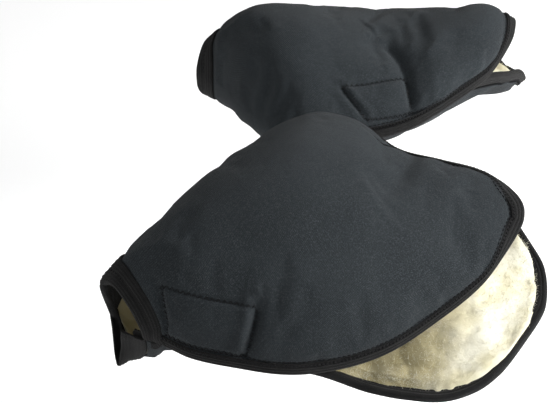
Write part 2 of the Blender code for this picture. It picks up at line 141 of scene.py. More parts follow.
BELLY_STEPS = 6
LAP_STEPS = 2

# Camera

CAMERA_AZIMUTH = math.radians(4.05)
CAMERA_ELEVATION = math.radians(37.21)
CAMERA_TARGET = Vector((0.11996, 0.0, -0.02375))
CAMERA_DISTANCE = 1.42206
CAMERA_LENS = 108
CAMERA_SENSOR = 36


def added(name, data):
    """A new object in the scene."""
    made = bpy.data.objects.new(name, data)
    bpy.context.scene.collection.objects.link(made)
    return made


def make_camera():
    """The photograph's camera."""
    data = bpy.data.cameras.new("camera")
    data.lens, data.sensor_width = CAMERA_LENS, CAMERA_SENSOR
    camera = added("camera", data)
    level = math.cos(CAMERA_ELEVATION)
    forward = Vector((-math.sin(CAMERA_AZIMUTH) * level, math.cos(CAMERA_AZIMUTH) * level,
                      -math.sin(CAMERA_ELEVATION)))
    camera.location = CAMERA_TARGET - forward * CAMERA_DISTANCE
    camera.rotation_euler = forward.to_track_quat("-Z", "Y").to_euler()
    bpy.context.scene.camera = camera


make_camera()

# The leaves' faces

TIP_SHARES = (0.8, 1.2)
NORMAL_STEP = 0.01
LEAST_TILT = 0.04


def smooth(value, start, end):
    """0 before start, 1 after end, and an even curve between."""
    share = np.clip((value - start) / (end - start), 0.0, 1.0)
    return share * share * (3 - 2 * share)


def unit(vectors):
    return vectors / np.maximum(np.linalg.norm(vectors, axis=-1, keepdims=True), 1e-12)


def run_along(points):
    """The length run from the first point to each."""
    return np.concatenate([[0], np.cumsum(np.linalg.norm(np.diff(points, axis=0), axis=1))])


def hermite(t, start, end, start_slope, end_slope):
    """A cubic from start to end that leaves and arrives with these slopes."""
    return ((2 * t**3 - 3 * t**2 + 1) * start + (t**3 - 2 * t**2 + t) * start_slope
            + (3 * t**2 - 2 * t**3) * end + (t**3 - t**2) * end_slope)


def through(stations, values, place):
    """A smooth curve through values at their stations, read at place."""
    stations, values = np.asarray(stations, float), np.asarray(values, float)
    place = np.clip(place, stations[0], stations[-1])
    index, last = np.arange(len(stations)), len(stations) - 1
    before, after = np.maximum(index - 1, 0), np.minimum(index + 1, last)
    slope = (values[after] - values[before]) / (stations[after] - stations[before])
    left = np.clip(np.searchsorted(stations, place, side="right") - 1, 0, last - 1)
    span = stations[left + 1] - stations[left]
    return hermite((place - stations[left]) / span, values[left], values[left + 1],
                   span * slope[left], span * slope[left + 1])


def read(stations, shares, x, size=1.0, first=None):
    """A table of shares of a size read at x, with first in place of its None."""
    return through(stations, [first if share is None else share * size for share in shares], x)


def lining_start(full):
    """Depth of the lining's outer face where the leaf is this plump, 0 to 1."""
    return SHELL + 2 * GAP + PADDING * (PADDING_EDGE_SHARE + (1 - PADDING_EDGE_SHARE) * full)


def leaf_depth(full):
    """Depth of the lining's inner face."""
    return lining_start(full) + LINING * (LINING_EDGE_SHARE + (1 - LINING_EDGE_SHARE) * full)


EDGE_DEPTH = leaf_depth(0.0)
CUFF_RADIUS = GRIP_RADIUS + GRIP_CLEARANCE + TAPE + EDGE_DEPTH
FOLD_END = FOLD_END_SHARE * TOP_LENGTH
TOP_STATIONS = [share * TOP_LENGTH for share in STATION_SHARES]
BOTTOM_STATIONS = [share * BOTTOM_LENGTH for share in STATION_SHARES]


def top_edges(side, x):
    """Outer and inner edge of the top leaf at x, each as its inward place and height."""
    return [np.array([read(TOP_STATIONS, shares, x, reach, cuff),
                      read(TOP_STATIONS, levels, x, EDGE_RISE)])
            for shares, reach, cuff, levels in (
                (OUTER_SHARES, -OUTER_REACH, -CUFF_RADIUS, OUTER_LEVEL_SHARES),
                (INNER_SHARES[side], INNER_REACH, CUFF_RADIUS, INNER_LEVEL_SHARES))]


def cuff_cut(side, x, w):
    """How far the slanting cuff pushes a point along the handle."""
    fade = 1 - np.minimum(x / CUFF_SLANT_REACH, 1.0)
    across = np.clip(0.5 - 0.5 * w / CUFF_RADIUS, 0.0, 1.0)
    return LAYS[side]["slant"] * across * fade * fade


def top_section(side, s):
    """The top leaf's section at share s of its length, as x, inward and up."""
    x = s * TOP_LENGTH
    outer, inner = top_edges(side, x)
    crown = read(TOP_STATIONS, CROWN_SHARES[side], x, CROWN, CUFF_RADIUS)
    angle = math.pi * (np.linspace(0, 1, SECTION_STEPS + 1) - 0.5)
    dome = np.maximum(np.cos(angle), 0.0)
    w, z = ((outer + inner) / 2 + (inner - outer) / 2 * np.sin(angle)[:, None]).T
    z = z + crown * dome ** through(TOP_STATIONS, DOME_POWER_SHARES, x)
    tip = 2 * TOP_TIP_BULGE * dome * smooth(s, *TIP_SHARES)
    return np.stack([x + tip + cuff_cut(side, x, w), w, z], axis=-1)


def placed(side, points):
    """A muff's own points in the pair's frame, as the muff lies on its handle."""
    lay = LAYS[side]
    x, w, z = points[..., 0], points[..., 1], points[..., 2]
    along = (x / TOP_LENGTH) ** 2
    inward = w * math.cos(lay["turn"]) - z * math.sin(lay["turn"]) + lay["bow"] * along
    up = w * math.sin(lay["turn"]) + z * math.cos(lay["turn"]) + lay["rise"] * along
    return np.stack([lay["slip"] + lay["stretch_share"] * x,
                     SIGNS[side] * (HANDLE_SPACING / 2 - inward), up], axis=-1)


def inside_wall(side, s, runs_up, at_inner, depths):
    """Points this deep inside the top leaf's wall at s, runs up from the leaf's edge."""
    raw = top_section(side, s)
    world = placed(side, raw)
    runs = run_along(world)
    before, after = (placed(side, top_section(side, near))
                     for near in (max(s - NORMAL_STEP, 0.0), min(s + NORMAL_STEP, 1.0)))
    normals = unit(np.cross(after - before, np.gradient(world, axis=0)))
    spots = []
    for run, depth in zip(runs_up, depths):
        place = runs[-1] - run if at_inner else run
        i = int(np.clip(np.searchsorted(runs, place, side="right") - 1, 0, SECTION_STEPS - 1))
        t = (place - runs[i]) / (runs[i + 1] - runs[i])
        step = unit(raw[i + 1, 1:] - raw[i, 1:])
        normal_x = normals[i, 0] * (1 - t) + normals[i + 1, 0] * t
        tilt = math.sqrt(max(1 - normal_x**2, LEAST_TILT))
        spots.append(raw[i, 1:] * (1 - t) + raw[i + 1, 1:] * t
                     + np.array([step[1], -step[0]]) * depth / tilt)
    return spots


def lap_ends(side, s, shares, at_inner):
    """Where the bottom leaf's wall starts at s, and the steps from there up its lap."""
    raised = smooth(s, *shares[:2]) * (1 - smooth(s, *shares[2:]))
    runs_up = [LAP_RUN * raised * step / LAP_STEPS for step in range(LAP_STEPS + 1)]
    closure = 2 * PATCH + 3 * GAP + LAP_EASE
    depths = [leaf_depth(smooth(run, TAPE_WIDTH, PLUMP_REACH)) + closure for run in runs_up]
    lifted = inside_wall(side, s, runs_up, at_inner, depths)
    drop = np.array([0, (0.0 if at_inner else EDGE_GAP) + EDGE_STUB])
    tucked = smooth(s, (3 * shares[0] - shares[1]) / 2, shares[0])
    edge = top_edges(side, s * TOP_LENGTH)[at_inner]
    return (edge * (1 - tucked) + lifted[0] * tucked - drop,
            [spot - lifted[0] for spot in lifted[1:]])


def bottom_section(side, s):
    """The bottom leaf's section at share s of its length, from its outer to its inner edge."""
    x, lay = s * BOTTOM_LENGTH, LAYS[side]
    droop = lay["droop"] * smooth(s, DROOP_START_SHARE, 1.0)
    feet, laps = [], []
    for at_inner, shares, reach, out_shares, levels in (
            (False, OUTER_LAP_SHARES, -OUTER_REACH, MOUTH_OUTER_SHARES[side],
             MOUTH_OUTER_LEVEL_SHARES[side]),
            (True, INNER_LAP_SHARES[side], INNER_REACH, MOUTH_INNER_SHARES,
             MOUTH_INNER_LEVEL_SHARES[side])):
        foot, lift = lap_ends(side, min(x / TOP_LENGTH, 1.0), shares, at_inner)
        mouth = np.array([read(BOTTOM_STATIONS, out_shares, x, reach),
                          read(BOTTOM_STATIONS, levels, x, -MOUTH_DROP) - droop])
        free = smooth(x / TOP_LENGTH, shares[2], 2 * shares[3] - shares[2])
        feet.append(foot * (1 - free) + mouth * free)
        laps.append(lift)
    belly = read(BOTTOM_STATIONS, BELLY_SHARES[side], x, BELLY, CUFF_RADIUS + lay["slack"])
    angle = math.pi * (np.linspace(0, 1, BELLY_STEPS + 1) - 0.5)
    share = (0.5 + 0.5 * np.sin(angle))[:, None]
    bow = np.maximum(np.cos(angle), 0.0) ** read(BOTTOM_STATIONS, BELLY_POWER_SHARES[side], x)
    wall = feet[0] * (1 - share) + feet[1] * share - np.stack([0 * bow, belly * bow], axis=-1)
    starts = [end + EDGE_STUB * unit(end - near)
              for end, near in ((wall[0], wall[1]), (wall[-1], wall[-2]))]
    points = ([starts[0] + lift for lift in reversed(laps[0])] + list(wall)
              + [starts[1] + lift for lift in laps[1]])
    kept = np.array([point for i, point in enumerate(points)
                     if i == 0 or np.linalg.norm(point - points[i - 1]) > EDGE_STUB / 2])
    lengths, shares = run_along(kept), np.linspace(0, 1, SECTION_STEPS + 1)
    w, z = (through(lengths, column, shares * lengths[-1]) for column in kept.T)
    tip = 2 * BOTTOM_TIP_BULGE * np.sin(math.pi * shares) * smooth(s, *TIP_SHARES)
    return np.stack([x + tip + cuff_cut(side, x, w), w, z], axis=-1)


FACE_ROWS = 160
FACE_COLUMNS = 160
RIM_ROLL = {("right", "bottom"): 11 * MM}
RIM_ROLL_SHARES = (0.72, 0.97)
RIM_ROLL_ACROSS = (0.35, 1.0)
TIP_ROUND = 24 * MM
TIP_ROUNDS = {("left", "bottom"): 42 * MM}
TIP_ROUND_SHARE = 0.46
# How far each fold is drawn in toward the handle: share along, and millimetres
PINCHES = {
    "left": ((0.0, 6), (0.05, 8.5), (0.12, 7.5), (0.2, 4.5), (0.3, 1.5),
             (0.4, 0.0), (1.0, 0.0)),
    "right": ((0.0, 4.5), (0.05, 7), (0.1, 8.5), (0.16, 6), (0.23, 2.5),
              (0.32, 0.0), (1.0, 0.0)),
}
PINCH_ACROSS = (0.5, 0.92)
STEP = 0.5 * MM


def bilinear(grid, i, j):
    """A grid read between its rows and columns."""
    i0 = np.clip(i.astype(int), 0, grid.shape[0] - 2)
    j0 = np.clip(j.astype(int), 0, grid.shape[1] - 2)
    a, b = i - i0, j - j0
    if grid.ndim == 3:
        a, b = a[..., None], b[..., None]
    return ((1 - a) * ((1 - b) * grid[i0, j0] + b * grid[i0, j0 + 1])
            + a * ((1 - b) * grid[i0 + 1, j0] + b * grid[i0 + 1, j0 + 1]))


class Leaf:
    """One leaf's outer face, read by share along the leaf and length run from its outer edge."""

    def __init__(self, side, name):
        self.side, self.name, self.billow = side, name, None
        self.length, section = ((TOP_LENGTH, top_section) if name == "top"
                                else (BOTTOM_LENGTH, bottom_section))
        along, across = (np.linspace(0, 1, steps + 1) for steps in (FACE_ROWS, FACE_COLUMNS))
        raw = [placed(side, section(side, s)) for s in along]
        runs = [run_along(row) for row in raw]
        self.widths = np.array([run[-1] for run in runs])
        self.points = np.array([
            np.stack([np.interp(across * run[-1], run, row[:, k]) for k in range(3)], axis=-1)
            for row, run in zip(raw, runs)])
        self.points[..., 2] += (RIM_ROLL.get((side, name), 0.0)
                                * smooth(along, *RIM_ROLL_SHARES)[:, None]
                                * smooth(across, *RIM_ROLL_ACROSS))
        pinch = through(*zip(*PINCHES[side]), along * self.length / TOP_LENGTH) * MM
        out = self.points - np.array([0, SIGNS[side] * HANDLE_SPACING / 2, 0])
        out[..., 0] = 0
        self.points -= (unit(out) * pinch[:, None, None]
                        * smooth(across, *PINCH_ACROSS)[:, None])
        self.normals = unit(np.cross(*(np.gradient(self.points, axis=k) for k in (0, 1))))
        if (side == "left") != (name == "top"):
            self.normals = -self.normals

    def _read(self, grid, s, u):
        return bilinear(grid, np.asarray(s) * FACE_ROWS, np.asarray(u) * FACE_COLUMNS)

    def width(self, s):
        return np.interp(s, np.linspace(0, 1, FACE_ROWS + 1), self.widths)

    def out(self, s, run):
        return unit(self._read(self.normals, s, run / self.width(s)))

    def at(self, s, run, depth=0.0):
        """Points this deep below the outer face."""
        s, run = np.broadcast_arrays(np.asarray(s, float), np.asarray(run, float))
        base = self._read(self.points, s, run / self.width(s))
        return base - self.out(s, run) * np.asarray(depth)[..., None]

    def rim(self, s, inner):
        """Run of the visible edge, its corners at the tip rounded."""
        radius = min(TIP_ROUNDS.get((self.side, self.name), TIP_ROUND),
                     TIP_ROUND_SHARE * self.widths[-1])
        into = np.maximum(radius - (1 - np.asarray(s, float)) * self.length, 0.0)
        inset = radius - np.sqrt(np.maximum(radius**2 - into**2, 0.0))
        return self.width(s) - inset if inner else inset

    def step(self, s, run, direction):
        """Share and run that move a place by a vector along the face."""
        ds, dr = STEP / self.length, STEP
        here = self.at(s, run)
        a, b = (self.at(s + ds, run) - self.at(s - ds, run)) / 2, self.at(s, run + dr) - here
        aa, ab, bb = (a * a).sum(-1), (a * b).sum(-1), (b * b).sum(-1)
        ad, bd = (a * direction).sum(-1), (b * direction).sum(-1)
        scale = np.maximum(aa * bb - ab * ab, 1e-18)
        return (ad * bb - bd * ab) / scale * ds, (bd * aa - ad * ab) / scale * dr

    def to_edge(self, s, run):
        """How far a place is from the leaf's nearest edge."""
        return np.minimum(np.minimum(run, self.width(s) - run),
                          np.minimum(s, 1 - s) * self.length)

    def full(self, s, run):
        """How plump the leaf is: 0 along its sewn edges, 1 in its middle."""
        return smooth(self.to_edge(s, run), TAPE_WIDTH, PLUMP_REACH)


LEAVES = {(side, name): Leaf(side, name) for side in LAYS for name in ("top", "bottom")}
BODIES = {("left", "top"): "top_leaves", ("right", "top"): "top_leaves",
          ("left", "bottom"): "left_bottom_leaf", ("right", "bottom"): "right_bottom_leaf"}

# Materials

# Each: sheen, its roughness and the specular level; patterns, which are weaves with two pitches in
# mm, noises with a scale, detail and roughness, or an attribute; the base colour; the colours over
# it, each by a pattern's ramp: low and high share, start, end; roughness; bumps in mm
MATERIALS = {
    "softshell_cloth": (
        (0.07, 0.4, 0.12),
        {"weave": (1.5, 1.5), "melange": (1000, 2.0, 0.65), "cloud": (22, 3.0, 0.5),
         "grain": (2400, 2.0, 0.7)},
        (0.0225, 0.0275, 0.0310),
        (("cloud", 0, 1, 0.35, 0.65, (0.0275, 0.0335, 0.0375)),
         ("melange", 0, 0.85, 0.5, 0.64, (0.058, 0.067, 0.074)),
         ("weave", 0.5, 0, 0.2, 0.6, (0.010, 0.012, 0.0135)),
         ("grain", 0, 0.7, 0.5, 0.64, (0.007, 0.0085, 0.0095))),
        ("melange", 0.8, 0.94), (("weave", 0.3), ("grain", 0.35), ("melange", 0.35))),
    "binding_tape_cloth": (
        (0.06, 0.4, 0.15),
        {"weave": (1.1, 1.4), "wear": (1800, 2.0, 0.6), "cloud": (60, 3.0, 0.55)},
        (0.0065, 0.0065, 0.0068),
        (("cloud", 0, 1, 0.35, 0.7, (0.0120, 0.0120, 0.0118)),
         ("wear", 0, 0.8, 0.5, 0.75, (0.028, 0.028, 0.027)),
         ("weave", 0.5, 0, 0.2, 0.6, (0.004, 0.004, 0.004))),
        ("wear", 0.7, 0.9), (("weave", 0.35), ("wear", 0.25))),
    "wool_pile": (
        (0.3, 0.6, 0.1),
        {"curl": (300, 3.0, 0.5), "fine": (1500, 2.0, 0.6), "cloud": (40, 2.0, 0.5), "painted_hollow_shade": ()},
        (0.71, 0.67, 0.49),
        (("cloud", 0, 1, 0.35, 0.65, (0.75, 0.73, 0.61)),
         ("curl", 0, 0.15, 0.5, 0.3, (0.68, 0.62, 0.42)),
         # painted shade: the wool darkens to yellow-brown in the hollows between tufts and deep
         # inside the muff under the top leaf
         ("painted_hollow_shade", 0, 0.9, 0.1, 1.0, (0.30, 0.25, 0.11))),
        ("fine", 0.88, 1.0), (("curl", 0.35), ("fine", 0.3))),
    "black_thread": (
        (0.05, 0.4, 0.15), {"twist": (3000, 1.0, 0.55)}, (0.0025, 0.0025, 0.003),
        (("twist", 0, 1, 0.4, 0.6, (0.007, 0.007, 0.008)),),
        ("twist", 0.65, 0.85), (("twist", 0.15),)),
    "hook_tape_field": (
        (0.1, 0.4, 0.3), {"field": (1500, 1.0, 0.6)}, (0.008, 0.008, 0.008),
        (("field", 0, 1, 0.4, 0.65, (0.03, 0.03, 0.031)),),
        ("field", 0.5, 0.85), (("field", 0.8),)),
    "loop_tape_nap": (
        (0.1, 0.4, 0.3), {"field": (900, 4.0, 0.6)}, (0.014, 0.014, 0.016),
        (("field", 0, 1, 0.4, 0.65, (0.045, 0.045, 0.05)),),
        ("field", 0.5, 0.85), (("field", 0.8),)),
}
ROUGHNESS_STEP = (0.3, 0.7)


def cloth_material(name):
    """The material of this name, made of its patterns."""
    levels, patterns, colour, layers, (rough, *roughness), bumps = MATERIALS[name]
    material = bpy.data.materials.new(name)
    material.use_nodes = True
    tree = material.node_tree

    def feed(inputs, values):
        """Set inputs to numbers or colours, or link them to other nodes' outputs."""
        for key, value in values.items():
            if isinstance(value, bpy.types.NodeSocket):
                tree.links.new(value, inputs[key])
            else:
                inputs[key].default_value = (*value, 1) if isinstance(value, tuple) else value

    def node(kind, output, values, **settings):
        """One output of a new node with these values and settings."""
        made = tree.nodes.new("ShaderNode" + kind)
        for key, value in settings.items():
            setattr(made, key, value)
        feed(made.inputs, values)
        return made.outputs[output]

    def calc(operation, *values):
        return node("Math", "Value", dict(enumerate(values)), operation=operation)

    def pattern(kind, sizes):
        """A pattern between 0 and 1."""
        if not sizes:
            return node("Attribute", "Fac", {}, attribute_name=kind)
        if len(sizes) == 3:
            return node("TexNoise", "Fac", {"Vector": node("TexCoord", "Object", {}), **dict(
                zip(("Scale", "Detail", "Roughness"), sizes))})
        place = node("TexCoord", "UV", {})
        waves = [calc("SINE", calc("MULTIPLY", node(
            "SeparateXYZ", axis, {"Vector": place}), 2 * math.pi / (pitch * MM)))
            for axis, pitch in zip("XY", sizes)]
        return calc("MULTIPLY_ADD", calc("MULTIPLY", *waves), 0.5, 0.5)

    def ramp(kind, low, high, start, end):
        """A smooth step of a pattern from start to end, scaled to low and high."""
        return node("MapRange", "Result", {
            "Value": made[kind], "From Min": start, "From Max": end, "To Min": low,
            "To Max": high}, interpolation_type="SMOOTHSTEP")

    made = {kind: pattern(kind, sizes) for kind, sizes in patterns.items()}
    for kind, *steps, over in layers:
        colour = node("Mix", 2, {"Factor": ramp(kind, *steps), 6: colour, 7: over},
                      data_type="RGBA")
    normal = {}
    for kind, height in bumps:
        normal = {"Normal": node("Bump", "Normal", {
            "Distance": height * MM, "Height": made[kind], **normal})}
    feed(tree.nodes["Principled BSDF"].inputs, {
        "Base Color": colour, "Roughness": ramp(rough, *roughness, *ROUGHNESS_STEP), **normal,
        **dict(zip(("Sheen Weight", "Sheen Roughness", "Specular IOR Level"), levels))})
    return material


CLOTHS = {slot: cloth_material(name) for slot, name in (
    ("softshell", "softshell_cloth"), ("binding_tape", "binding_tape_cloth"),
    ("wool", "wool_pile"), ("hook_tape", "hook_tape_field"), ("loop_tape", "loop_tape_nap"))}
THREAD = cloth_material("black_thread")

# Relief of the cloth


def lumps(points, size, seed):
    """Smooth value noise between -1 and 1, with lumps of this size."""
    place = points / size + np.array([seed * 17.3, seed * 9.1, seed * 5.7])
    cell = np.floor(place).astype(np.int64)
    part = place - cell
    part = part * part * (3 - 2 * part)
    total = np.zeros(points.shape[:-1])
    for corner in range(8):
        step = np.array([corner & 1, corner >> 1 & 1, corner >> 2 & 1])
        key = (cell + step) * np.array([73856093, 19349663, 83492791])
        key = (key[..., 0] ^ key[..., 1] ^ key[..., 2]) & 0xFFFFFF
        key = (key * 1103515245 + 12345) & 0x7FFFFFFF
        key = (key ^ (key >> 13)) * 69069 & 0x7FFFFFFF
        weight = np.prod(np.where(step == 1, part, 1 - part), axis=-1)
        total += weight * ((key >> 7 & 0xFFFF) / 32767.5 - 1)
    return total


def distance(x, r, path):
    """Distance to a path, and which side of it a place lies on: positive on its left."""
    best = np.full(x.shape, 1.0)
    side = np.zeros(x.shape)
    for (x0, r0), (x1, r1) in zip(path, path[1:]):
        dx, dr = x1 - x0, r1 - r0
        share = np.clip(((x - x0) * dx + (r - r0) * dr) / (dx * dx + dr * dr), 0, 1)
        gap = np.hypot(x - x0 - share * dx, r - r0 - share * dr)
        nearer = gap < best
        best = np.where(nearer, gap, best)
        side = np.where(nearer, np.sign(dx * (r - r0) - dr * (x - x0)), side)
    return best, side


def within(x, r, corners, soft):
    """1 inside a convex outline and 0 outside it, easing over soft."""
    inside = np.ones(x.shape)
    middle = np.mean(np.array(corners), axis=0)
    for (x0, r0), (x1, r1) in zip(corners, corners[1:] + corners[:1]):
        dx, dr = x1 - x0, r1 - r0
        gap = (dx * (r - r0) - dr * (x - x0)) / math.hypot(dx, dr)
        facing = dx * (middle[1] - r0) - dr * (middle[0] - x0)
        inside *= smooth(gap * np.sign(facing), -soft, soft)
    return inside


# Outlines and creases: share along the leaf, and millimetres in from its outer or inner edge
CUFF_PATCH = ((0.126, 56), (0.384, 52.5), (0.362, 13), (0.100, 13))
SIDE_PATCHES = {
    "left": ((0.485, 31), (0.676, 32), (0.708, 13), (0.560, 13)),
    "right": ((0.485, 50), (0.676, 51), (0.708, 13), (0.560, 18)),
}
# Each crease: edge that it is measured from, its places, depth, width and the ridge on its left
CREASES = {
    "left": (
        ("outer", ((0.392, 56), (0.384, 40), (0.374, 27), (0.362, 12)), 3.6, 4.5, -1.8),
        ("outer", ((0.452, 78), (0.438, 62), (0.434, 46)), 1, 6, 0.4),
        ("outer", ((0.118, 60), (0.106, 34), (0.096, 12)), 1.6, 3, 0.5),
        ("outer", ((0.060, 66), (0.110, 78), (0.170, 84)), 1, 5, 0.4),
        ("outer", ((0.455, 24), (0.470, 40), (0.520, 52)), 0.9, 6, 0.3),
        ("inner", ((0.655, 100), (0.695, 82), (0.722, 64), (0.746, 33), (0.76, 11)),
         2, 6.5, 0.7),
        ("inner", ((0.30, 60), (0.27, 34), (0.25, 8)), 1.4, 6, 0.5),
    ),
    "right": (
        ("inner", ((0.605, 99), (0.64, 82), (0.66, 70), (0.682, 50), (0.696, 32),
                   (0.712, 10)), 3.4, 4, 0.8),
        ("inner", ((0.60, 104), (0.64, 84), (0.668, 66), (0.690, 44), (0.712, 14)),
         4.6, 12, 1.6),
        ("inner", ((0.470, 52), (0.514, 37.2), (0.556, 22)), 1.8, 2.6, 1.4),
        ("inner", ((0.572, 98), (0.584, 88), (0.602, 74)), 1.6, 4, 0.8),
        ("inner", ((0.700, 118), (0.716, 98), (0.730, 76)), 1.8, 6, 0.8),
        ("inner", ((0.655, 122), (0.664, 108), (0.676, 92)), 1.2, 5, 0.6),
        ("inner", ((0.262, 52), (0.242, 26), (0.232, 6)), 1.6, 5, 0.6),
        ("inner", ((0.318, 42), (0.292, 26), (0.262, 8)), 1.4, 4.5, 0.5),
        ("inner", ((0.12, 70), (0.16, 84), (0.22, 92)), 1.2, 8, 0.5),
        ("outer", ((0.392, 54), (0.384, 40), (0.374, 27), (0.362, 12)), 2.6, 3.2, -1),
        ("outer", ((0.118, 60), (0.106, 34), (0.096, 12)), 1.6, 3, 0.5),
        ("outer", ((0.62, 30), (0.60, 50), (0.56, 66)), 1.2, 7, 0.4),
    ),
}
BOTTOM_CREASES = (
    ("outer", ((0.50, 30), (0.54, 60), (0.56, 95)), 2, 8, 0.8),
    ("outer", ((0.22, 40), (0.30, 62), (0.33, 90)), 1.6, 7, 0.6),
    ("inner", ((0.70, 24), (0.66, 48), (0.60, 70)), 2, 7, 0.8),
    ("inner", ((0.20, 30), (0.30, 50), (0.42, 58)), 1.8, 8, 0.6),
)
CUFF_BAND = 19 * MM
PUFF = 1.5 * MM
PUFF_REACH = 5 * MM
SET_IN = 3.4 * MM
SET_IN_REACH = 55 * MM
SEAM_SINK = 0.5 * MM
PUCKER = 0.35 * MM
PUCKER_SIZE = 9 * MM
PUCKER_REACH = 12 * MM
SWELLS = ((70 * MM, 1.3 * MM, 1), (32 * MM, 0.7 * MM, 2), (14 * MM, 0.16 * MM, 3))
PATCH_PRESS = 0.75
PATCH_GROOVE = 1.3 * MM
PATCH_GROOVE_WIDTH = 1.9 * MM
CREASE_END_SHARE = 0.35
CREASE_FADE = 14 * MM
PRESS_SOFT = 3 * MM
SEAM_SINK_WIDTH = 1.5 * MM


def from_edge(leaf, s, run, edge):
    return run if edge == "outer" else leaf.width(s) - run


def patch_outlines(leaf):
    """The stitched outlines on a top leaf: cuff patch and side patch."""
    if leaf.name == "bottom":
        return []
    return [("outer", [(s * leaf.length, r * MM) for s, r in CUFF_PATCH]),
            ("inner", [(s * leaf.length, r * MM) for s, r in SIDE_PATCHES[leaf.side]])]


def creases(leaf):
    """Each crease's edge, its path in metres along and in, and its depth, width and ridge."""
    table = CREASES[leaf.side] if leaf.name == "top" else BOTTOM_CREASES
    return [(edge, [(share * leaf.length, place * MM) for share, place in places],
             *(size * MM for size in sizes)) for edge, places, *sizes in table]


def bound(x):
    """How far a tape binds the inner edge at x: 0 along the fold, 1 past its end."""
    return smooth(x, FOLD_END, FOLD_END + TAPE_WIDTH)


def seam_distance(leaf, s, run):
    """How far a place is from the nearest seam that holds the cloth down."""
    x = s * leaf.length
    inner = leaf.width(s) - run - TAPE_WIDTH + PUFF_REACH * 4 * (1 - bound(x))
    return np.minimum(np.minimum(run - TAPE_WIDTH, inner),
                      np.minimum(x - CUFF_BAND, leaf.length - x - TAPE_WIDTH))


def relief(leaf, s, run):
    """How far the cloth stands out of the leaf's plain face."""
    s, run = np.broadcast_arrays(np.asarray(s, float), np.asarray(run, float))
    x = s * leaf.length
    seam = np.maximum(seam_distance(leaf, s, run), 0.0)
    spots = leaf.at(s, run)
    rise = 1 - np.exp(-seam / PUFF_REACH)
    height = PUFF * rise - SET_IN * smooth(seam, 0, SET_IN_REACH)
    for size, depth, seed in SWELLS:
        height = height + depth * lumps(spots, size, seed) * rise
    height = height + (PUCKER * lumps(spots, PUCKER_SIZE, 4)
                       * np.exp(-seam / PUCKER_REACH) * smooth(seam, 0, 3 * MM))
    for edge, corners in patch_outlines(leaf):
        r = from_edge(leaf, s, run, edge)
        height = height * (1 - PATCH_PRESS * within(x, r, corners, PRESS_SOFT))
        gap, _side = distance(x, r, corners + corners[:1])
        height = height - PATCH_GROOVE * np.exp(-(gap / PATCH_GROOVE_WIDTH) ** 2)
    for edge, path, depth, width, ridge in creases(leaf):
        r = from_edge(leaf, s, run, edge)
        gap, side = distance(x, r, path)
        ends = np.minimum(*(np.hypot(x - end[0], r - end[1]) for end in (path[0], path[-1])))
        fade = CREASE_END_SHARE + (1 - CREASE_END_SHARE) * smooth(ends, 0, CREASE_FADE)
        ridge_gap = np.where(side * np.sign(ridge) > 0, gap, 0.0)
        height = height + fade * (
            abs(ridge) * np.exp(-((ridge_gap - 2 * width) / (1.2 * width)) ** 2)
            * smooth(ridge_gap, 0, width) - depth * np.exp(-(gap / width) ** 2))
    height = height - SEAM_SINK * np.exp(-(seam / SEAM_SINK_WIDTH) ** 2)
    if leaf.billow is None:
        return height
    first, last = cloth_borders(leaf, s)
    margin = INSET / leaf.length
    shares = ((s - margin) / (1 - 2 * margin), (run - first) / (last - first))
    return height + bilinear(leaf.billow, *(
        np.clip(share, 0, 1) * (count - 1) for share, count in zip(shares, leaf.billow.shape)))


# Pieces

SHARP_ANGLE = math.radians(60)


def laid_out(grid):
    """Lengths run along and across a grid of points, as places for the weave."""
    along = np.linalg.norm(np.diff(grid, axis=0, prepend=grid[:1]), axis=-1).cumsum(axis=0)
    across = np.linalg.norm(np.diff(grid, axis=1, prepend=grid[:, :1]), axis=-1).cumsum(axis=1)
    return np.stack([along, across], axis=-1).reshape(-1, 2)


def mesh_of(name, points, faces):
    mesh = bpy.data.meshes.new(name)
    mesh.from_pydata(np.asarray(points).tolist(), [], faces)
    return mesh


def piece(name, points, faces, slot, places=None, material=None):
    """A smooth-shaded object, its faces turned outward."""
    mesh = mesh_of(name, points, faces)
    work = bmesh.new()
    work.from_mesh(mesh)
    bmesh.ops.recalc_face_normals(work, faces=work.faces)
    if work.calc_volume(signed=True) < 0:
        bmesh.ops.reverse_faces(work, faces=work.faces)
    work.to_mesh(mesh)
    work.free()
    if places is not None:
        corners = np.zeros(len(mesh.loops), np.int32)
        mesh.loops.foreach_get("vertex_index", corners)
        mesh.uv_layers.new(name="weave").data.foreach_set("uv", places[corners].ravel())
    mesh.materials.append(material or CLOTHS[slot])
    mesh.shade_smooth()
    mesh.set_sharp_from_angle(angle=SHARP_ANGLE)
    made = added(name, mesh)
    return made


def grid_faces(rows, columns, start=0, wrap=False):
    """Quads of a grid of rows by columns of points; wrap closes it round its columns."""
    faces = []
    for i in range(rows - 1):
        for j in range(columns if wrap else columns - 1):
            k = (j + 1) % columns
            faces.append((start + i * columns + j, start + (i + 1) * columns + j,
                          start + (i + 1) * columns + k, start + i * columns + k))
    return faces


def sheet_piece(name, front, back, slot):
    """A closed thin piece between two grids of the same size."""
    rows, columns = front.shape[:2]
    count = rows * columns
    index = np.arange(count).reshape(rows, columns)
    rim = np.concatenate([index[0], index[1:, -1], index[-1, -2::-1], index[-2:0:-1, 0]]).tolist()
    faces = grid_faces(rows, columns)
    faces += [tuple(reversed(face)) for face in grid_faces(rows, columns, count)]
    faces += [(k, after, after + count, k + count) for k, after in zip(rim, rim[1:] + rim[:1])]
    return piece(name, np.concatenate([front.reshape(-1, 3), back.reshape(-1, 3)]), faces,
                 slot, np.concatenate([laid_out(front), laid_out(back)]))


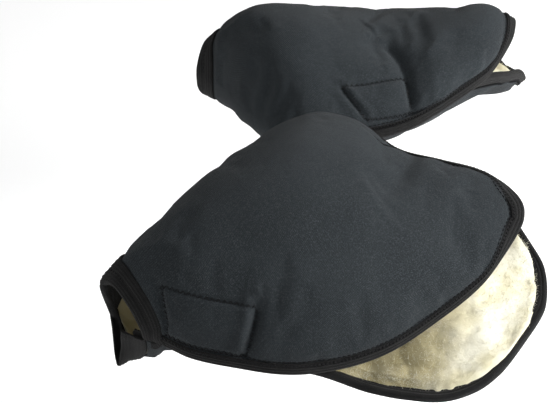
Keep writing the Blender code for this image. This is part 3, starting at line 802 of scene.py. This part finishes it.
def tube_mesh(paths, radii, sides):
    """Points and faces of thin round tubes along paths; each radius is one or one a point."""
    points, faces, start = [], [], 0
    turn = 2 * math.pi * np.arange(sides) / sides
    for path, radius in zip(paths, radii):
        path = np.asarray(path)
        along = unit(np.gradient(path, axis=0))
        side = unit(np.cross(along, np.array([0.31, 0.17, 0.93])))
        up = np.cross(side, along)
        radius = np.broadcast_to(radius, (len(path),))[:, None, None]
        ring = path[:, None] + radius * (np.cos(turn)[None, :, None] * side[:, None]
                                         + np.sin(turn)[None, :, None] * up[:, None])
        points.append(ring.reshape(-1, 3))
        faces += grid_faces(len(path), sides, start, wrap=True)
        last = start + (len(path) - 1) * sides
        faces.append(tuple(range(start, start + sides)))
        faces.append(tuple(range(last + sides - 1, last - 1, -1)))
        start += len(path) * sides
    return np.concatenate(points), faces


# A leaf's cloth runs this far under its tapes, and at the fold ends this far from its edge
TUCK_UNDER = 7.5 * MM
INSET = TAPE_WIDTH - TUCK_UNDER
FOLD_BAND = 9 * MM
CLOTH_CELL = 2.0 * MM
WOOL_CELL = 1.7 * MM


def cloth_borders(leaf, s):
    """Runs between which a leaf's cloth lies, at each share along."""
    tied = bound(s * leaf.length)
    near = s + INSET / leaf.length * smooth(s, 0.5, 1.0)
    return (leaf.rim(near, False) + INSET,
            leaf.rim(near, True) - FOLD_BAND * (1 - tied) - INSET * tied)


def cloth_grid(leaf, cell):
    """Shares and runs of an even grid over the leaf, to inside its tapes."""
    margin = INSET / leaf.length
    s = np.linspace(margin, 1 - margin, int(leaf.length / cell) + 1)
    first, last = cloth_borders(leaf, s)
    share = np.linspace(0, 1, int(leaf.widths.max() / cell) + 1)
    runs = first[:, None] + (last - first)[:, None] * share[None, :]
    return np.broadcast_to(s[:, None], runs.shape), runs


BILLOW_CELL = 5.5 * MM
BILLOW_FRAMES = 20
BILLOW_PRESSURE = 4.0
BILLOW_SLACKS = {"left": 0.006, "right": 0.011}
BILLOW_INWARD, BILLOW_OUTWARD = 1.0 * MM, 2.2 * MM
BILLOW_PIN = 4.2 * MM
BILLOW_CREASE_PIN = 0.6


def billow(leaf):
    """How far a cloth simulation moves the leaf's cloth, held at its seams, off its rest face."""
    s, run = cloth_grid(leaf, BILLOW_CELL)
    start, out = leaf.at(s, run, -relief(leaf, s, run)), leaf.out(s, run)
    hold = np.where(seam_distance(leaf, s, run) < 1 * MM, 1.0, 0.0)
    hold[[0, -1]] = hold[:, [0, -1]] = 1.0
    held = [(edge, path, BILLOW_CREASE_PIN) for edge, path, *_sizes in creases(leaf)]
    held += [(edge, corners + corners[:1], 1.0) for edge, corners in patch_outlines(leaf)]
    for edge, path, weight in held:
        gap, _side = distance(s * leaf.length, from_edge(leaf, s, run, edge), path)
        hold = np.maximum(hold, weight * (gap < BILLOW_PIN))
    faces = grid_faces(*s.shape)
    points = start.reshape(-1, 3)
    a, b, c = (points[faces[0][k]] for k in range(3))
    if np.dot(np.cross(b - a, c - a), out[0, 0]) < 0:
        faces = [tuple(reversed(face)) for face in faces]
    mesh = mesh_of("billow", points, faces)
    sheet = added("billow", mesh)
    pins = sheet.vertex_groups.new(name="pins")
    for k, weight in enumerate(hold.ravel()):
        pins.add([k], float(weight), "REPLACE")
    cloth = sheet.modifiers.new("cloth", "CLOTH")
    cloth.settings.vertex_group_mass = pins.name
    cloth.settings.use_pressure = True
    cloth.settings.uniform_pressure_force = BILLOW_PRESSURE
    cloth.settings.shrink_min = -BILLOW_SLACKS[leaf.side]
    cloth.settings.effector_weights.gravity = 0
    cloth.point_cache.frame_start, cloth.point_cache.frame_end = 1, BILLOW_FRAMES
    for number in range(1, BILLOW_FRAMES + 1):
        bpy.context.scene.frame_set(number)
    drawn = sheet.evaluated_get(bpy.context.evaluated_depsgraph_get())
    places = np.zeros(len(points) * 3)
    drawn.data.vertices.foreach_get("co", places)
    moved = ((places.reshape(start.shape) - start) * out).sum(-1)
    bpy.data.objects.remove(sheet)
    bpy.data.meshes.remove(mesh)
    bpy.context.scene.frame_set(1)
    return np.clip(moved, -BILLOW_INWARD, BILLOW_OUTWARD)


def cover(leaf):
    """The softshell of one leaf."""
    s, run = cloth_grid(leaf, CLOTH_CELL)
    height = relief(leaf, s, run)
    made = sheet_piece(f"{leaf.side}_{leaf.name}_cover", leaf.at(s, run, -height),
                       leaf.at(s, run, SHELL - height), "softshell")
    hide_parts(f"{leaf.side}_{leaf.name}_shell", f"{leaf.side}_{leaf.name}_padding")
    return made


TUFTS = ((24 * MM, 3.4 * MM), (9 * MM, 0.6 * MM))
# Share of the shade painted into the hollows between tufts
HOLLOW_SHADE_SHARE = 0.28
PILE_SWELLS = ((42 * MM, 2.2 * MM, 11), (18 * MM, 1.4 * MM, 12))
CURLS = ((5.5 * MM, 0.3 * MM, 13), (3.0 * MM, 0.12 * MM, 14))
PILE_RISE = 2.2 * MM
TOP_PILE_SHARE = 0.4
# Shade painted into the wool deep inside the muff: its strength, where it starts and is full, and
# how much the distance from the tip adds to that from the outer edge
DEEP_SHADE = 0.95
DEEP_REACH = (22 * MM, 84 * MM)
OUTER_SHADE = 0.7
SPILL_START = 4.5 * MM
SPILL_RISE = 2.4 * MM
SPILL_RAG = 1.3 * MM
LEAST_PILE = 1.2 * MM
OPEN_SHARES = (0.35, 0.5)
TUFT_WARP = 0.3
TUFT_JITTER = 0.42
TUFT_REACH = 0.95
TUFT_POWER = 0.8


def tufts(x, r, size):
    """Rounded mounds between 0 and 1, one to each jittered cell of this size."""
    best = np.full(x.shape, 9.0)
    i, j = np.floor(x / size), np.floor(r / size)
    for a in (-1, 0, 1):
        for b in (-1, 0, 1):
            ci, cj = i + a, j + b
            key = np.stack([ci, cj, 0 * ci], axis=-1)
            px = (ci + 0.5 + TUFT_JITTER * lumps(key + 0.37, 1.0, 21)) * size
            pr = (cj + 0.5 + TUFT_JITTER * lumps(key + 0.53, 1.0, 22)) * size
            best = np.minimum(best, np.hypot(x - px, r - pr) / size)
    return np.maximum(1 - (best / TUFT_REACH) ** 2, 0.0) ** TUFT_POWER


def pile_height(leaf, s, run):
    """How far the wool stands into the muff beyond its plain face, and the shade painted on its
    colour, 0 to 1, in the hollows between tufts and deep inside the muff.
    """
    x = s * leaf.length
    seam = np.maximum(leaf.to_edge(s, run) - TAPE_WIDTH, 0.0)
    spots = leaf.at(s, run)
    edge = np.minimum(np.minimum(run - leaf.rim(s, False), leaf.rim(s, True) - run),
                      leaf.length - x) + SPILL_RAG * lumps(spots, 5 * MM, 17)
    open_rim = smooth(s, *OPEN_SHARES)
    spill = SPILL_RISE * smooth(edge, SPILL_START, SPILL_START + 4 * MM) * open_rim
    height = spill + (PILE_RISE - spill) * smooth(seam, 0, 8 * MM)
    rise = (smooth(seam, 0, 5 * MM) * (1 - open_rim)
            + smooth(edge, SPILL_START + 1 * MM, SPILL_START + 12 * MM) * open_rim)
    # Painted shade in the hollows between tufts, from how far each place lies below its mound
    painted_hollow_shade = np.zeros(s.shape)
    for size, depth in TUFTS:
        u, v = (place + TUFT_WARP * size * lumps(spots, size, seed)
                for place, seed in ((x, 15), (run, 16)))
        mound = tufts(u, v, size)
        height = height + depth * rise * mound
        painted_hollow_shade = np.maximum(painted_hollow_shade, (1 - mound) * depth / TUFTS[0][1])
    for size, depth, seed in PILE_SWELLS + CURLS:
        height = height + depth * lumps(spots, size, seed) * rise
    # Painted shade, stronger further in from the open tip and the outer edge, where the top leaf
    # shades the wool
    inside = np.minimum(leaf.length - x, run + OUTER_SHADE * (leaf.length - x))
    deep = DEEP_SHADE * smooth(inside, *DEEP_REACH)
    return height, np.maximum(HOLLOW_SHADE_SHARE * painted_hollow_shade * rise, deep * smooth(painted_hollow_shade, -1.5, 0.5))


def pile(leaf):
    """The wool of one leaf, its inner face in tufts."""
    s, run = cloth_grid(leaf, WOOL_CELL)
    full = leaf.full(s, run)
    start = np.maximum(lining_start(full), SHELL + GAP - relief(leaf, s, run))
    share = 1.0 if leaf.name == "bottom" else TOP_PILE_SHARE
    height, painted_hollow_shade = pile_height(leaf, s, run)
    end = np.maximum(leaf_depth(full), start + LEAST_PILE) + share * height
    made = sheet_piece(f"{leaf.side}_{leaf.name}_wool", leaf.at(s, run, start),
                       leaf.at(s, run, end), "wool")
    # The wool's inner face carries the painted shade as an attribute that darkens its colour; its
    # outer face gets none
    shade = made.data.attributes.new("painted_hollow_shade", "FLOAT", "POINT")
    shade.data.foreach_set("value", np.concatenate([0 * painted_hollow_shade.ravel(), painted_hollow_shade.ravel()]))
    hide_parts(f"{leaf.side}_{leaf.name}_lining")
    return made


# Tapes

RIB_PITCH = 2.7 * MM
RIB_HEIGHT = 0.5 * MM
TAPE_STEPS = 30
ROUND_STEPS = 8
EDGE_CELL = 2.0 * MM
EDGE_PLACES = 400
TIP_PLACES = 12
BAND_SWELL = 0.7 * MM
TAPE_CLEAR = 0.05 * MM
TAPE_LIP = 0.3 * MM
EDGE_BULGE = 0.45


def rib(run_in):
    return RIB_HEIGHT * abs(math.sin(math.pi * run_in / RIB_PITCH)) ** 0.8


def tape_profile(outer_width, band):
    """The tape's section: run in from the edge, and depth below the face, round the edge."""
    profile = []
    for run_in in np.linspace(outer_width, 0, TAPE_STEPS + 1):
        swell = BAND_SWELL * abs(math.sin(math.pi * run_in / band)) ** 0.6 if band else 0.0
        profile.append((run_in, -TAPE - rib(run_in) - swell))
    half = EDGE_DEPTH / 2 + TAPE
    for angle in np.linspace(0, math.pi, ROUND_STEPS + 1)[1:-1]:
        profile.append((-half * EDGE_BULGE * math.sin(angle),
                        EDGE_DEPTH / 2 - half * math.cos(angle)))
    profile += [(run_in, EDGE_DEPTH + TAPE + rib(run_in))
                for run_in in np.linspace(0, TAPE_WIDTH, TAPE_STEPS + 1)]
    return profile + [(TAPE_WIDTH, EDGE_DEPTH + TAPE_CLEAR), (TAPE_LIP, EDGE_DEPTH + TAPE_CLEAR),
                      (TAPE_LIP, -TAPE_CLEAR), (outer_width, -TAPE_CLEAR)]


def tape_piece(name, curve, outer_width=TAPE_WIDTH, band=None):
    """A tape folded over an edge; curve gives the points this far in from it and this deep."""
    rows = []
    for run_in, depth in tape_profile(outer_width, band):
        spots = curve(max(run_in, 0.0), depth)
        if run_in < 0:
            spots = spots + unit(spots - curve(TAPE_WIDTH, depth)) * -run_in
        rows.append(spots)
    rings = np.stack(rows, axis=1)
    count, sides = rings.shape[:2]
    faces = grid_faces(count, sides, wrap=True)
    faces.append(tuple(range(sides)))
    faces.append(tuple(range(count * sides - 1, (count - 1) * sides - 1, -1)))
    return piece(name, rings.reshape(-1, 3), faces, "binding_tape", laid_out(rings))


def spaced(places, leaf, cell):
    """The same path of places, evenly spaced over the face."""
    places = np.array(places)
    length = run_along(leaf.at(*places.T))
    even = np.linspace(0, length[-1], int(length[-1] / cell) + 1)
    return np.stack([np.interp(even, length, column) for column in places.T], axis=-1)


def inward(leaf, edges):
    """At each place of an edge path, the share and run to a metre that lead square into it."""
    spots = leaf.at(*edges.T)
    along = unit(np.gradient(spots, axis=0))
    for _ in range(3):
        along[1:-1] = unit(along[:-2] + 2 * along[1:-1] + along[2:])
    side = unit(np.cross(leaf.out(*edges.T), along))
    middle = leaf.at(edges[:, 0] * 0.9 + 0.05, leaf.width(edges[:, 0]) / 2)
    flip = np.sign(((middle - spots) * side).sum())
    return np.stack(leaf.step(*edges.T, side * flip), axis=-1)


def cuff_lead(leaf, edges):
    """As inward, but along the fold's rows where the cuff meets the fold."""
    margin = TAPE_WIDTH / leaf.length
    spread = (float(leaf.width(margin)) - float(leaf.width(0.0))) / TAPE_WIDTH
    share = edges[:, 1] / edges[:, 1].max()
    rows = np.stack([np.full(len(edges), 1 / leaf.length), spread * share], axis=-1)
    blend = smooth(share, 0.55, 0.9)[:, None]
    return inward(leaf, edges) * (1 - blend) + rows * blend


def sweep(name, leaf, edges, lead, *sizes):
    """A tape folded over the leaf's edge along a path of places."""
    return tape_piece(name, lambda run_in, depth: leaf.at(*(edges + lead * run_in).T, depth),
                      *sizes)


def edge_path(leaf):
    """Places along the outer edge from the cuff, round the tip, and back to the fold."""
    start = (CUFF_BAND - 2 * MM) / leaf.length if leaf.name == "top" else TAPE_WIDTH / leaf.length
    fold = (FOLD_END + TAPE_WIDTH) / leaf.length
    share = np.linspace(0, 1, EDGE_PLACES) ** 2
    out, back = 1 - (1 - start) * share[:0:-1], 1 - (1 - fold) * share[1:]
    tip = np.linspace(leaf.rim(1.0, False), leaf.rim(1.0, True), TIP_PLACES)
    path = [np.stack([out, leaf.rim(out, False)]), np.stack([1 + 0 * tip, tip]),
            np.stack([back, leaf.rim(back, True)])]
    return spaced(np.concatenate(path, axis=1).T, leaf, EDGE_CELL)


def cuff_path(leaf):
    """Places round the cuff, short of the fold."""
    width = float(leaf.width(0.0))
    runs = np.linspace(0.0, width - FOLD_BAND, int(width / EDGE_CELL))
    return np.stack([0 * runs, runs], axis=-1)


FOLD_STEPS = 14
FOLD_PLACES = 60


def fold_curve(top, bottom, s_top, depth, raised=True):
    """Across the fold at one place along it, from the top leaf's cloth to the bottom leaf's."""
    edge, ends = 0, []
    for leaf, s in ((top, s_top), (bottom, s_top * top.length / bottom.length)):
        run = leaf.width(s) - FOLD_BAND
        a, b = (leaf.at(s, r, depth - (relief(leaf, s, r) if raised else 0.0))
                for r in (run, run + 0.5 * MM))
        ends.append((a, unit(b - a)))
        edge = edge + leaf.at(s, leaf.width(s), depth) / 2
    (a, tangent_a), (b, tangent_b) = ends
    reach = np.linalg.norm(a - edge) + np.linalg.norm(b - edge)
    t = np.linspace(0, 1, FOLD_STEPS + 1)[:, None]
    return hermite(t, a, b, reach * tangent_a, -reach * tangent_b)


def fold_pieces(side):
    """The cloth, the wool and the cuff tape that join the two leaves along the fold."""
    top, bottom = LEAVES[side, "top"], LEAVES[side, "bottom"]
    places = np.linspace(INSET, FOLD_END + TAPE_WIDTH, FOLD_PLACES) / top.length
    made = []
    for name, slot, start_depth, end_depth, raised in (
            ("fold_cloth", "softshell", 0.0, SHELL, True),
            ("fold_wool", "wool", lining_start(0.0), leaf_depth(0.0), False)):
        front, back = (np.array([fold_curve(top, bottom, s, depth, raised) for s in places])
                       for depth in (start_depth, end_depth))
        made.append(sheet_piece(f"{side}_{name}", front, back, slot))
    made.append(tape_piece(f"{side}_fold_tape", lambda run_in, depth: fold_curve(
        top, bottom, run_in / top.length, depth, False), CUFF_BAND, CUFF_BAND / 2))
    joint = next(j for j in frame["joints"] if j["name"] == f"{side}_fold")
    axis = Vector(joint["axis"]).normalized()
    down = Vector((0, 0, -1))
    down = (down - axis * down.dot(axis)).normalized()
    for item in made:
        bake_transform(item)
    return made


# Stitching, fasteners and fibres

THREAD_RADIUS = 0.46 * MM
TAPE_PITCH = 3.0 * MM
PATCH_PITCH = 4.6 * MM
ZIGZAG_WIDTH = 2.4 * MM
PATCH_ZIGZAG_WIDTH = 3.4 * MM
DASH = 2.6 * MM
DASH_GAP = 1.2 * MM
ZIGZAG_INSET = 1.9 * MM
DASH_OFFSET = 1.2 * MM
CLEAR_OF_CUFF = 10
CUFF_ROW_START = 0.04
DIP = np.array([-1.0, 0.5, 0.8, 0.5, -1.0])[:, None] * THREAD_RADIUS


def trace(leaf, places, step, lift):
    """Evenly spaced points along places of a leaf: where, outward, and across the row."""
    places = np.array(places)
    share = np.linspace(0, len(places) - 1, 12 * len(places))
    s, run = (np.interp(share, np.arange(len(places)), column) for column in places.T)
    length = run_along(leaf.at(s, run, -lift(s, run)))
    even = np.arange(0, length[-1], step)
    s, run = np.interp(even, length, s), np.interp(even, length, run)
    spots, outward = leaf.at(s, run, -lift(s, run)), leaf.out(s, run)
    return spots, outward, unit(np.cross(outward, unit(np.gradient(spots, axis=0))))


def zigzag(leaf, places, lift, pitch, width):
    """One thread that zigzags along a row."""
    spots, outward, across = trace(leaf, places, pitch / 4, lift)
    k = np.arange(len(spots))
    swing = 2 * np.abs((k / 4) % 1 - 0.5) * 2 - 1
    return [spots + across * (swing * width / 2)[:, None] + outward * THREAD_RADIUS * 0.6]


def dashes(leaf, places, lift):
    """Short straight stitches along a row, each with its ends drawn into the cloth."""
    spots, outward, _across = trace(leaf, places, (DASH + DASH_GAP) / 6, lift)
    return [spots[k:k + 5] + outward[k:k + 5] * DIP for k in range(0, len(spots) - 5, 6)]


def on_tape(s, _run):
    return TAPE + RIB_HEIGHT * 0.6 + 0 * s


def stitching(leaf):
    """Every stitch row of one leaf."""
    def on_cloth(s, run):
        return relief(leaf, s, run)

    edges = edge_path(leaf)
    lead = inward(leaf, edges)
    first = 0 if leaf.name == "top" else CLEAR_OF_CUFF
    rows = zigzag(leaf, (edges + lead * (TAPE_WIDTH - ZIGZAG_INSET))[first:], on_tape, TAPE_PITCH,
                  ZIGZAG_WIDTH)
    if leaf.name == "top":
        rows += dashes(leaf, (edges + lead * (TAPE_WIDTH + DASH_OFFSET))[4:], on_cloth)
        t = np.linspace(0, 1, 12, endpoint=False)[:, None]
        for edge, corners in patch_outlines(leaf):
            corners = np.array(corners)
            x, r = np.concatenate([a + (b - a) * t for a, b in zip(
                corners, np.roll(corners, -1, axis=0))] + [corners[:1]]).T
            s = x / leaf.length
            outline = np.stack([s, from_edge(leaf, s, r, edge)], axis=-1)
            rows += zigzag(leaf, outline, on_cloth, PATCH_PITCH, PATCH_ZIGZAG_WIDTH)
        width = leaf.width(TAPE_WIDTH / leaf.length)
        runs = width * np.linspace(CUFF_ROW_START, (width - FOLD_BAND) / width, 30)
        rows += dashes(leaf, np.stack([0 * runs + CUFF_BAND * 0.5 / leaf.length, runs], axis=-1),
                       on_tape)
    points, faces = tube_mesh(rows, [THREAD_RADIUS] * len(rows), 5)
    return piece(f"{leaf.side}_{leaf.name}_stitching", points, faces, "binding_tape",
                 material=THREAD)


# First and last share along, run of its edges in from the leaf's outer or inner edge
FASTENERS = (("cuff", "outer", (0.12, 0.37, 14.0, 52.0), (0.22, 0.36, 12.0, 34.0)),
             ("side", "inner", (0.50, 0.69, 14.0, 48.0), (0.52, 0.66, 12.0, 30.0)))


def fastener_piece(leaf, place, edge, bounds, kind):
    """A hook or loop patch."""
    s, r = np.meshgrid(np.linspace(*bounds[:2], 40), np.linspace(*bounds[2:], 28) * MM,
                       indexing="ij")
    run = from_edge(leaf, s, r, edge)
    depth = leaf_depth(leaf.full(s, run)) + GAP if leaf.name == "top" else -(PATCH + GAP)
    made = sheet_piece(f"{leaf.side}_{place}_{kind}_fastener", leaf.at(s, run, depth),
                       leaf.at(s, run, depth + PATCH), f"{kind}_tape")
    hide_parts(f"{leaf.side}_{place}_{kind}_patch")
    return made


FIBRES_PER_MM = 9.0
FIBRE_LENGTH = 2.6 * MM
FIBRE_RADIUS = 0.11 * MM
RIM_FIBRE_BAND = 7 * MM
PILE_FIBRES_PER_CM = 45
PILE_FIBRE_LENGTH = 3.6 * MM
PILE_FIBRE_RADIUS = 0.12 * MM
PILE_FIBRE_START_SHARE = 0.45
FIBRE_SEEDS = {"left": 7, "right": 11}


def fibre_mesh(rng, roots, leans, length, radius):
    """Short curling fibres from their roots."""
    reach = length * rng.uniform(0.4, 1.1, (len(roots), 1))
    curl = rng.normal(0, 0.3, roots.shape)
    t = np.array([0.0, 0.4, 0.75, 1.0])
    paths = roots[:, None] + reach[:, None] * (leans[:, None] * t[None, :, None]
                                               + curl[:, None] * (t * t)[None, :, None])
    taper = radius * np.array([1.0, 0.9, 0.6, 0.2])
    return tube_mesh(paths, [taper] * len(paths), 3)


def pile_top(leaf, s, run, share, sunk):
    """Places this far below the top of the wool."""
    return leaf.at(s, run, leaf_depth(leaf.full(s, run)) + share * pile_height(leaf, s, run)[0]
                   - sunk)


def rim_fibres(leaf, rng):
    """Roots and leans of the loose fibres that stand over the tape's inner edge."""
    edges = edge_path(leaf)
    lead = inward(leaf, edges)
    count = int(len(edges) * EDGE_CELL / MM * FIBRES_PER_MM)
    at = np.sort(rng.random(count)) * (len(edges) - 1)
    edge, ahead = (np.stack([np.interp(at, np.arange(len(edges)), column)
                             for column in path.T], axis=-1) for path in (edges, lead))
    place = edge + ahead * (SPILL_START + 2 * MM + rng.random((count, 1)) * RIM_FIBRE_BAND)
    s, run = place.T
    share = 1.0 if leaf.name == "bottom" else TOP_PILE_SHARE
    roots = pile_top(leaf, s, run, share, 0.6 * MM)
    outer = unit(leaf.at(*edge.T, EDGE_DEPTH) - roots)
    return roots, unit(outer * rng.uniform(0.2, 1.2, (count, 1))
                       - leaf.out(s, run) * rng.uniform(0.3, 1.0, (count, 1))
                       + rng.normal(0, 0.35, (count, 3)))


def pile_fibres(leaf, rng):
    """Roots and leans of the fibres that stand out of the pile in the open mouth."""
    mouth = 1 - PILE_FIBRE_START_SHARE
    count = int(mouth * leaf.length * leaf.widths.mean() * 1e4 * PILE_FIBRES_PER_CM)
    s = PILE_FIBRE_START_SHARE + mouth * rng.random(count) * 0.96
    first, last = leaf.rim(s, False) + TAPE_WIDTH, leaf.rim(s, True) - TAPE_WIDTH
    run = first + (last - first) * rng.random(count)
    roots = pile_top(leaf, s, run, 1.0, 0.8 * MM)
    return roots, unit(rng.normal(0, 0.8, (count, 3)) - leaf.out(s, run))


def fibres(leaf):
    """The loose fibres of one leaf's wool."""
    rng = np.random.default_rng(FIBRE_SEEDS[leaf.side] + (leaf.name == "bottom"))
    points, faces = fibre_mesh(rng, *rim_fibres(leaf, rng), FIBRE_LENGTH, FIBRE_RADIUS)
    if leaf.name == "bottom":
        more, more_faces = fibre_mesh(rng, *pile_fibres(leaf, rng), PILE_FIBRE_LENGTH,
                                      PILE_FIBRE_RADIUS)
        faces += [tuple(len(points) + k for k in face) for face in more_faces]
        points = np.concatenate([points, more])
    return piece(f"{leaf.side}_{leaf.name}_fibres", points, faces, "wool")


for leaf in LEAVES.values():
    leaf.billow = billow(leaf)

for (side, name), leaf in LEAVES.items():
    made = [cover(leaf), pile(leaf), stitching(leaf), fibres(leaf)]
    rim, cuff = edge_path(leaf), cuff_path(leaf)
    made.append(sweep(f"{side}_{name}_tape", leaf, rim, inward(leaf, rim)))
    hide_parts(f"{side}_{name}_binding")
    made.append(sweep(f"{side}_{name}_cuff_tape", leaf, cuff, cuff_lead(leaf, cuff), CUFF_BAND,
                      CUFF_BAND / 2))
    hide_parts(f"{side}_{name}_cuff_binding")
    for place, edge, hook_bounds, loop_bounds in FASTENERS:
        kind, bounds = ("hook", hook_bounds) if name == "top" else ("loop", loop_bounds)
        made.append(fastener_piece(leaf, place, edge, bounds, kind))
    for item in made:
        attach(item, BODIES[side, name])

for side in LAYS:
    fold_pieces(side)

# Stage and light

FLOOR_HEIGHT = -0.27
FLOOR_SIZE = 8.0
FLOOR_LIFT = 0.4
WORLD_LEVEL = 0.11
LAMPS = (
    ("key", (1.3, -0.25, 0.5), (0.12, 0.0, 0.0), 0.7, 28),
    ("front", (0.3, -1.8, 1.2), (0.12, 0.0, 0.0), 1.4, 8),
    ("tips", (0.85, 0.3, 0.75), (0.26, -0.1, 0.0), 0.5, 5),
    ("left", (-1.5, -0.7, 0.9), (0.12, 0.0, 0.0), 1.2, 14),
)


def camera_ray_level(tree, socket, low, high):
    """Give a strength its high level for rays straight from the camera, and its low one else."""
    path = tree.nodes.new("ShaderNodeLightPath")
    level = tree.nodes.new("ShaderNodeMapRange")
    level.inputs["To Min"].default_value = low
    level.inputs["To Max"].default_value = high
    tree.links.new(path.outputs["Is Camera Ray"], level.inputs["Value"])
    tree.links.new(level.outputs["Result"], socket)


def stage():
    """A pale floor and a soft, even studio light."""
    half = FLOOR_SIZE / 2
    mesh = mesh_of("floor", [(x, y, FLOOR_HEIGHT) for x, y in (
        (-half, -half), (half, -half), (half, half), (-half, half))], [(0, 1, 2, 3)])
    floor = added("floor", mesh)
    material = bpy.data.materials.new("floor_white")
    material.use_nodes = True
    shader = material.node_tree.nodes["Principled BSDF"]
    shader.inputs["Base Color"].default_value = (0.9, 0.9, 0.9, 1)
    shader.inputs["Roughness"].default_value = 0.9
    shader.inputs["Emission Color"].default_value = (1, 1, 1, 1)
    camera_ray_level(material.node_tree, shader.inputs["Emission Strength"], 0.0, FLOOR_LIFT)
    mesh.materials.append(material)
    world = bpy.data.worlds.new("studio")
    bpy.context.scene.world = world
    world.use_nodes = True
    background = world.node_tree.nodes["Background"]
    background.inputs["Color"].default_value = (1, 1, 1, 1)
    camera_ray_level(world.node_tree, background.inputs["Strength"], WORLD_LEVEL, 1.0)
    for name, place, aim, size, power in LAMPS:
        light = bpy.data.lights.new(name, "AREA")
        light.shape, light.size, light.energy = "DISK", size, power
        lamp = added(name, light)
        lamp.location = place
        lamp.rotation_euler = (Vector(aim) - Vector(place)).to_track_quat("-Z", "Y").to_euler()


stage()
bpy.context.scene.view_settings.view_transform = "Standard"
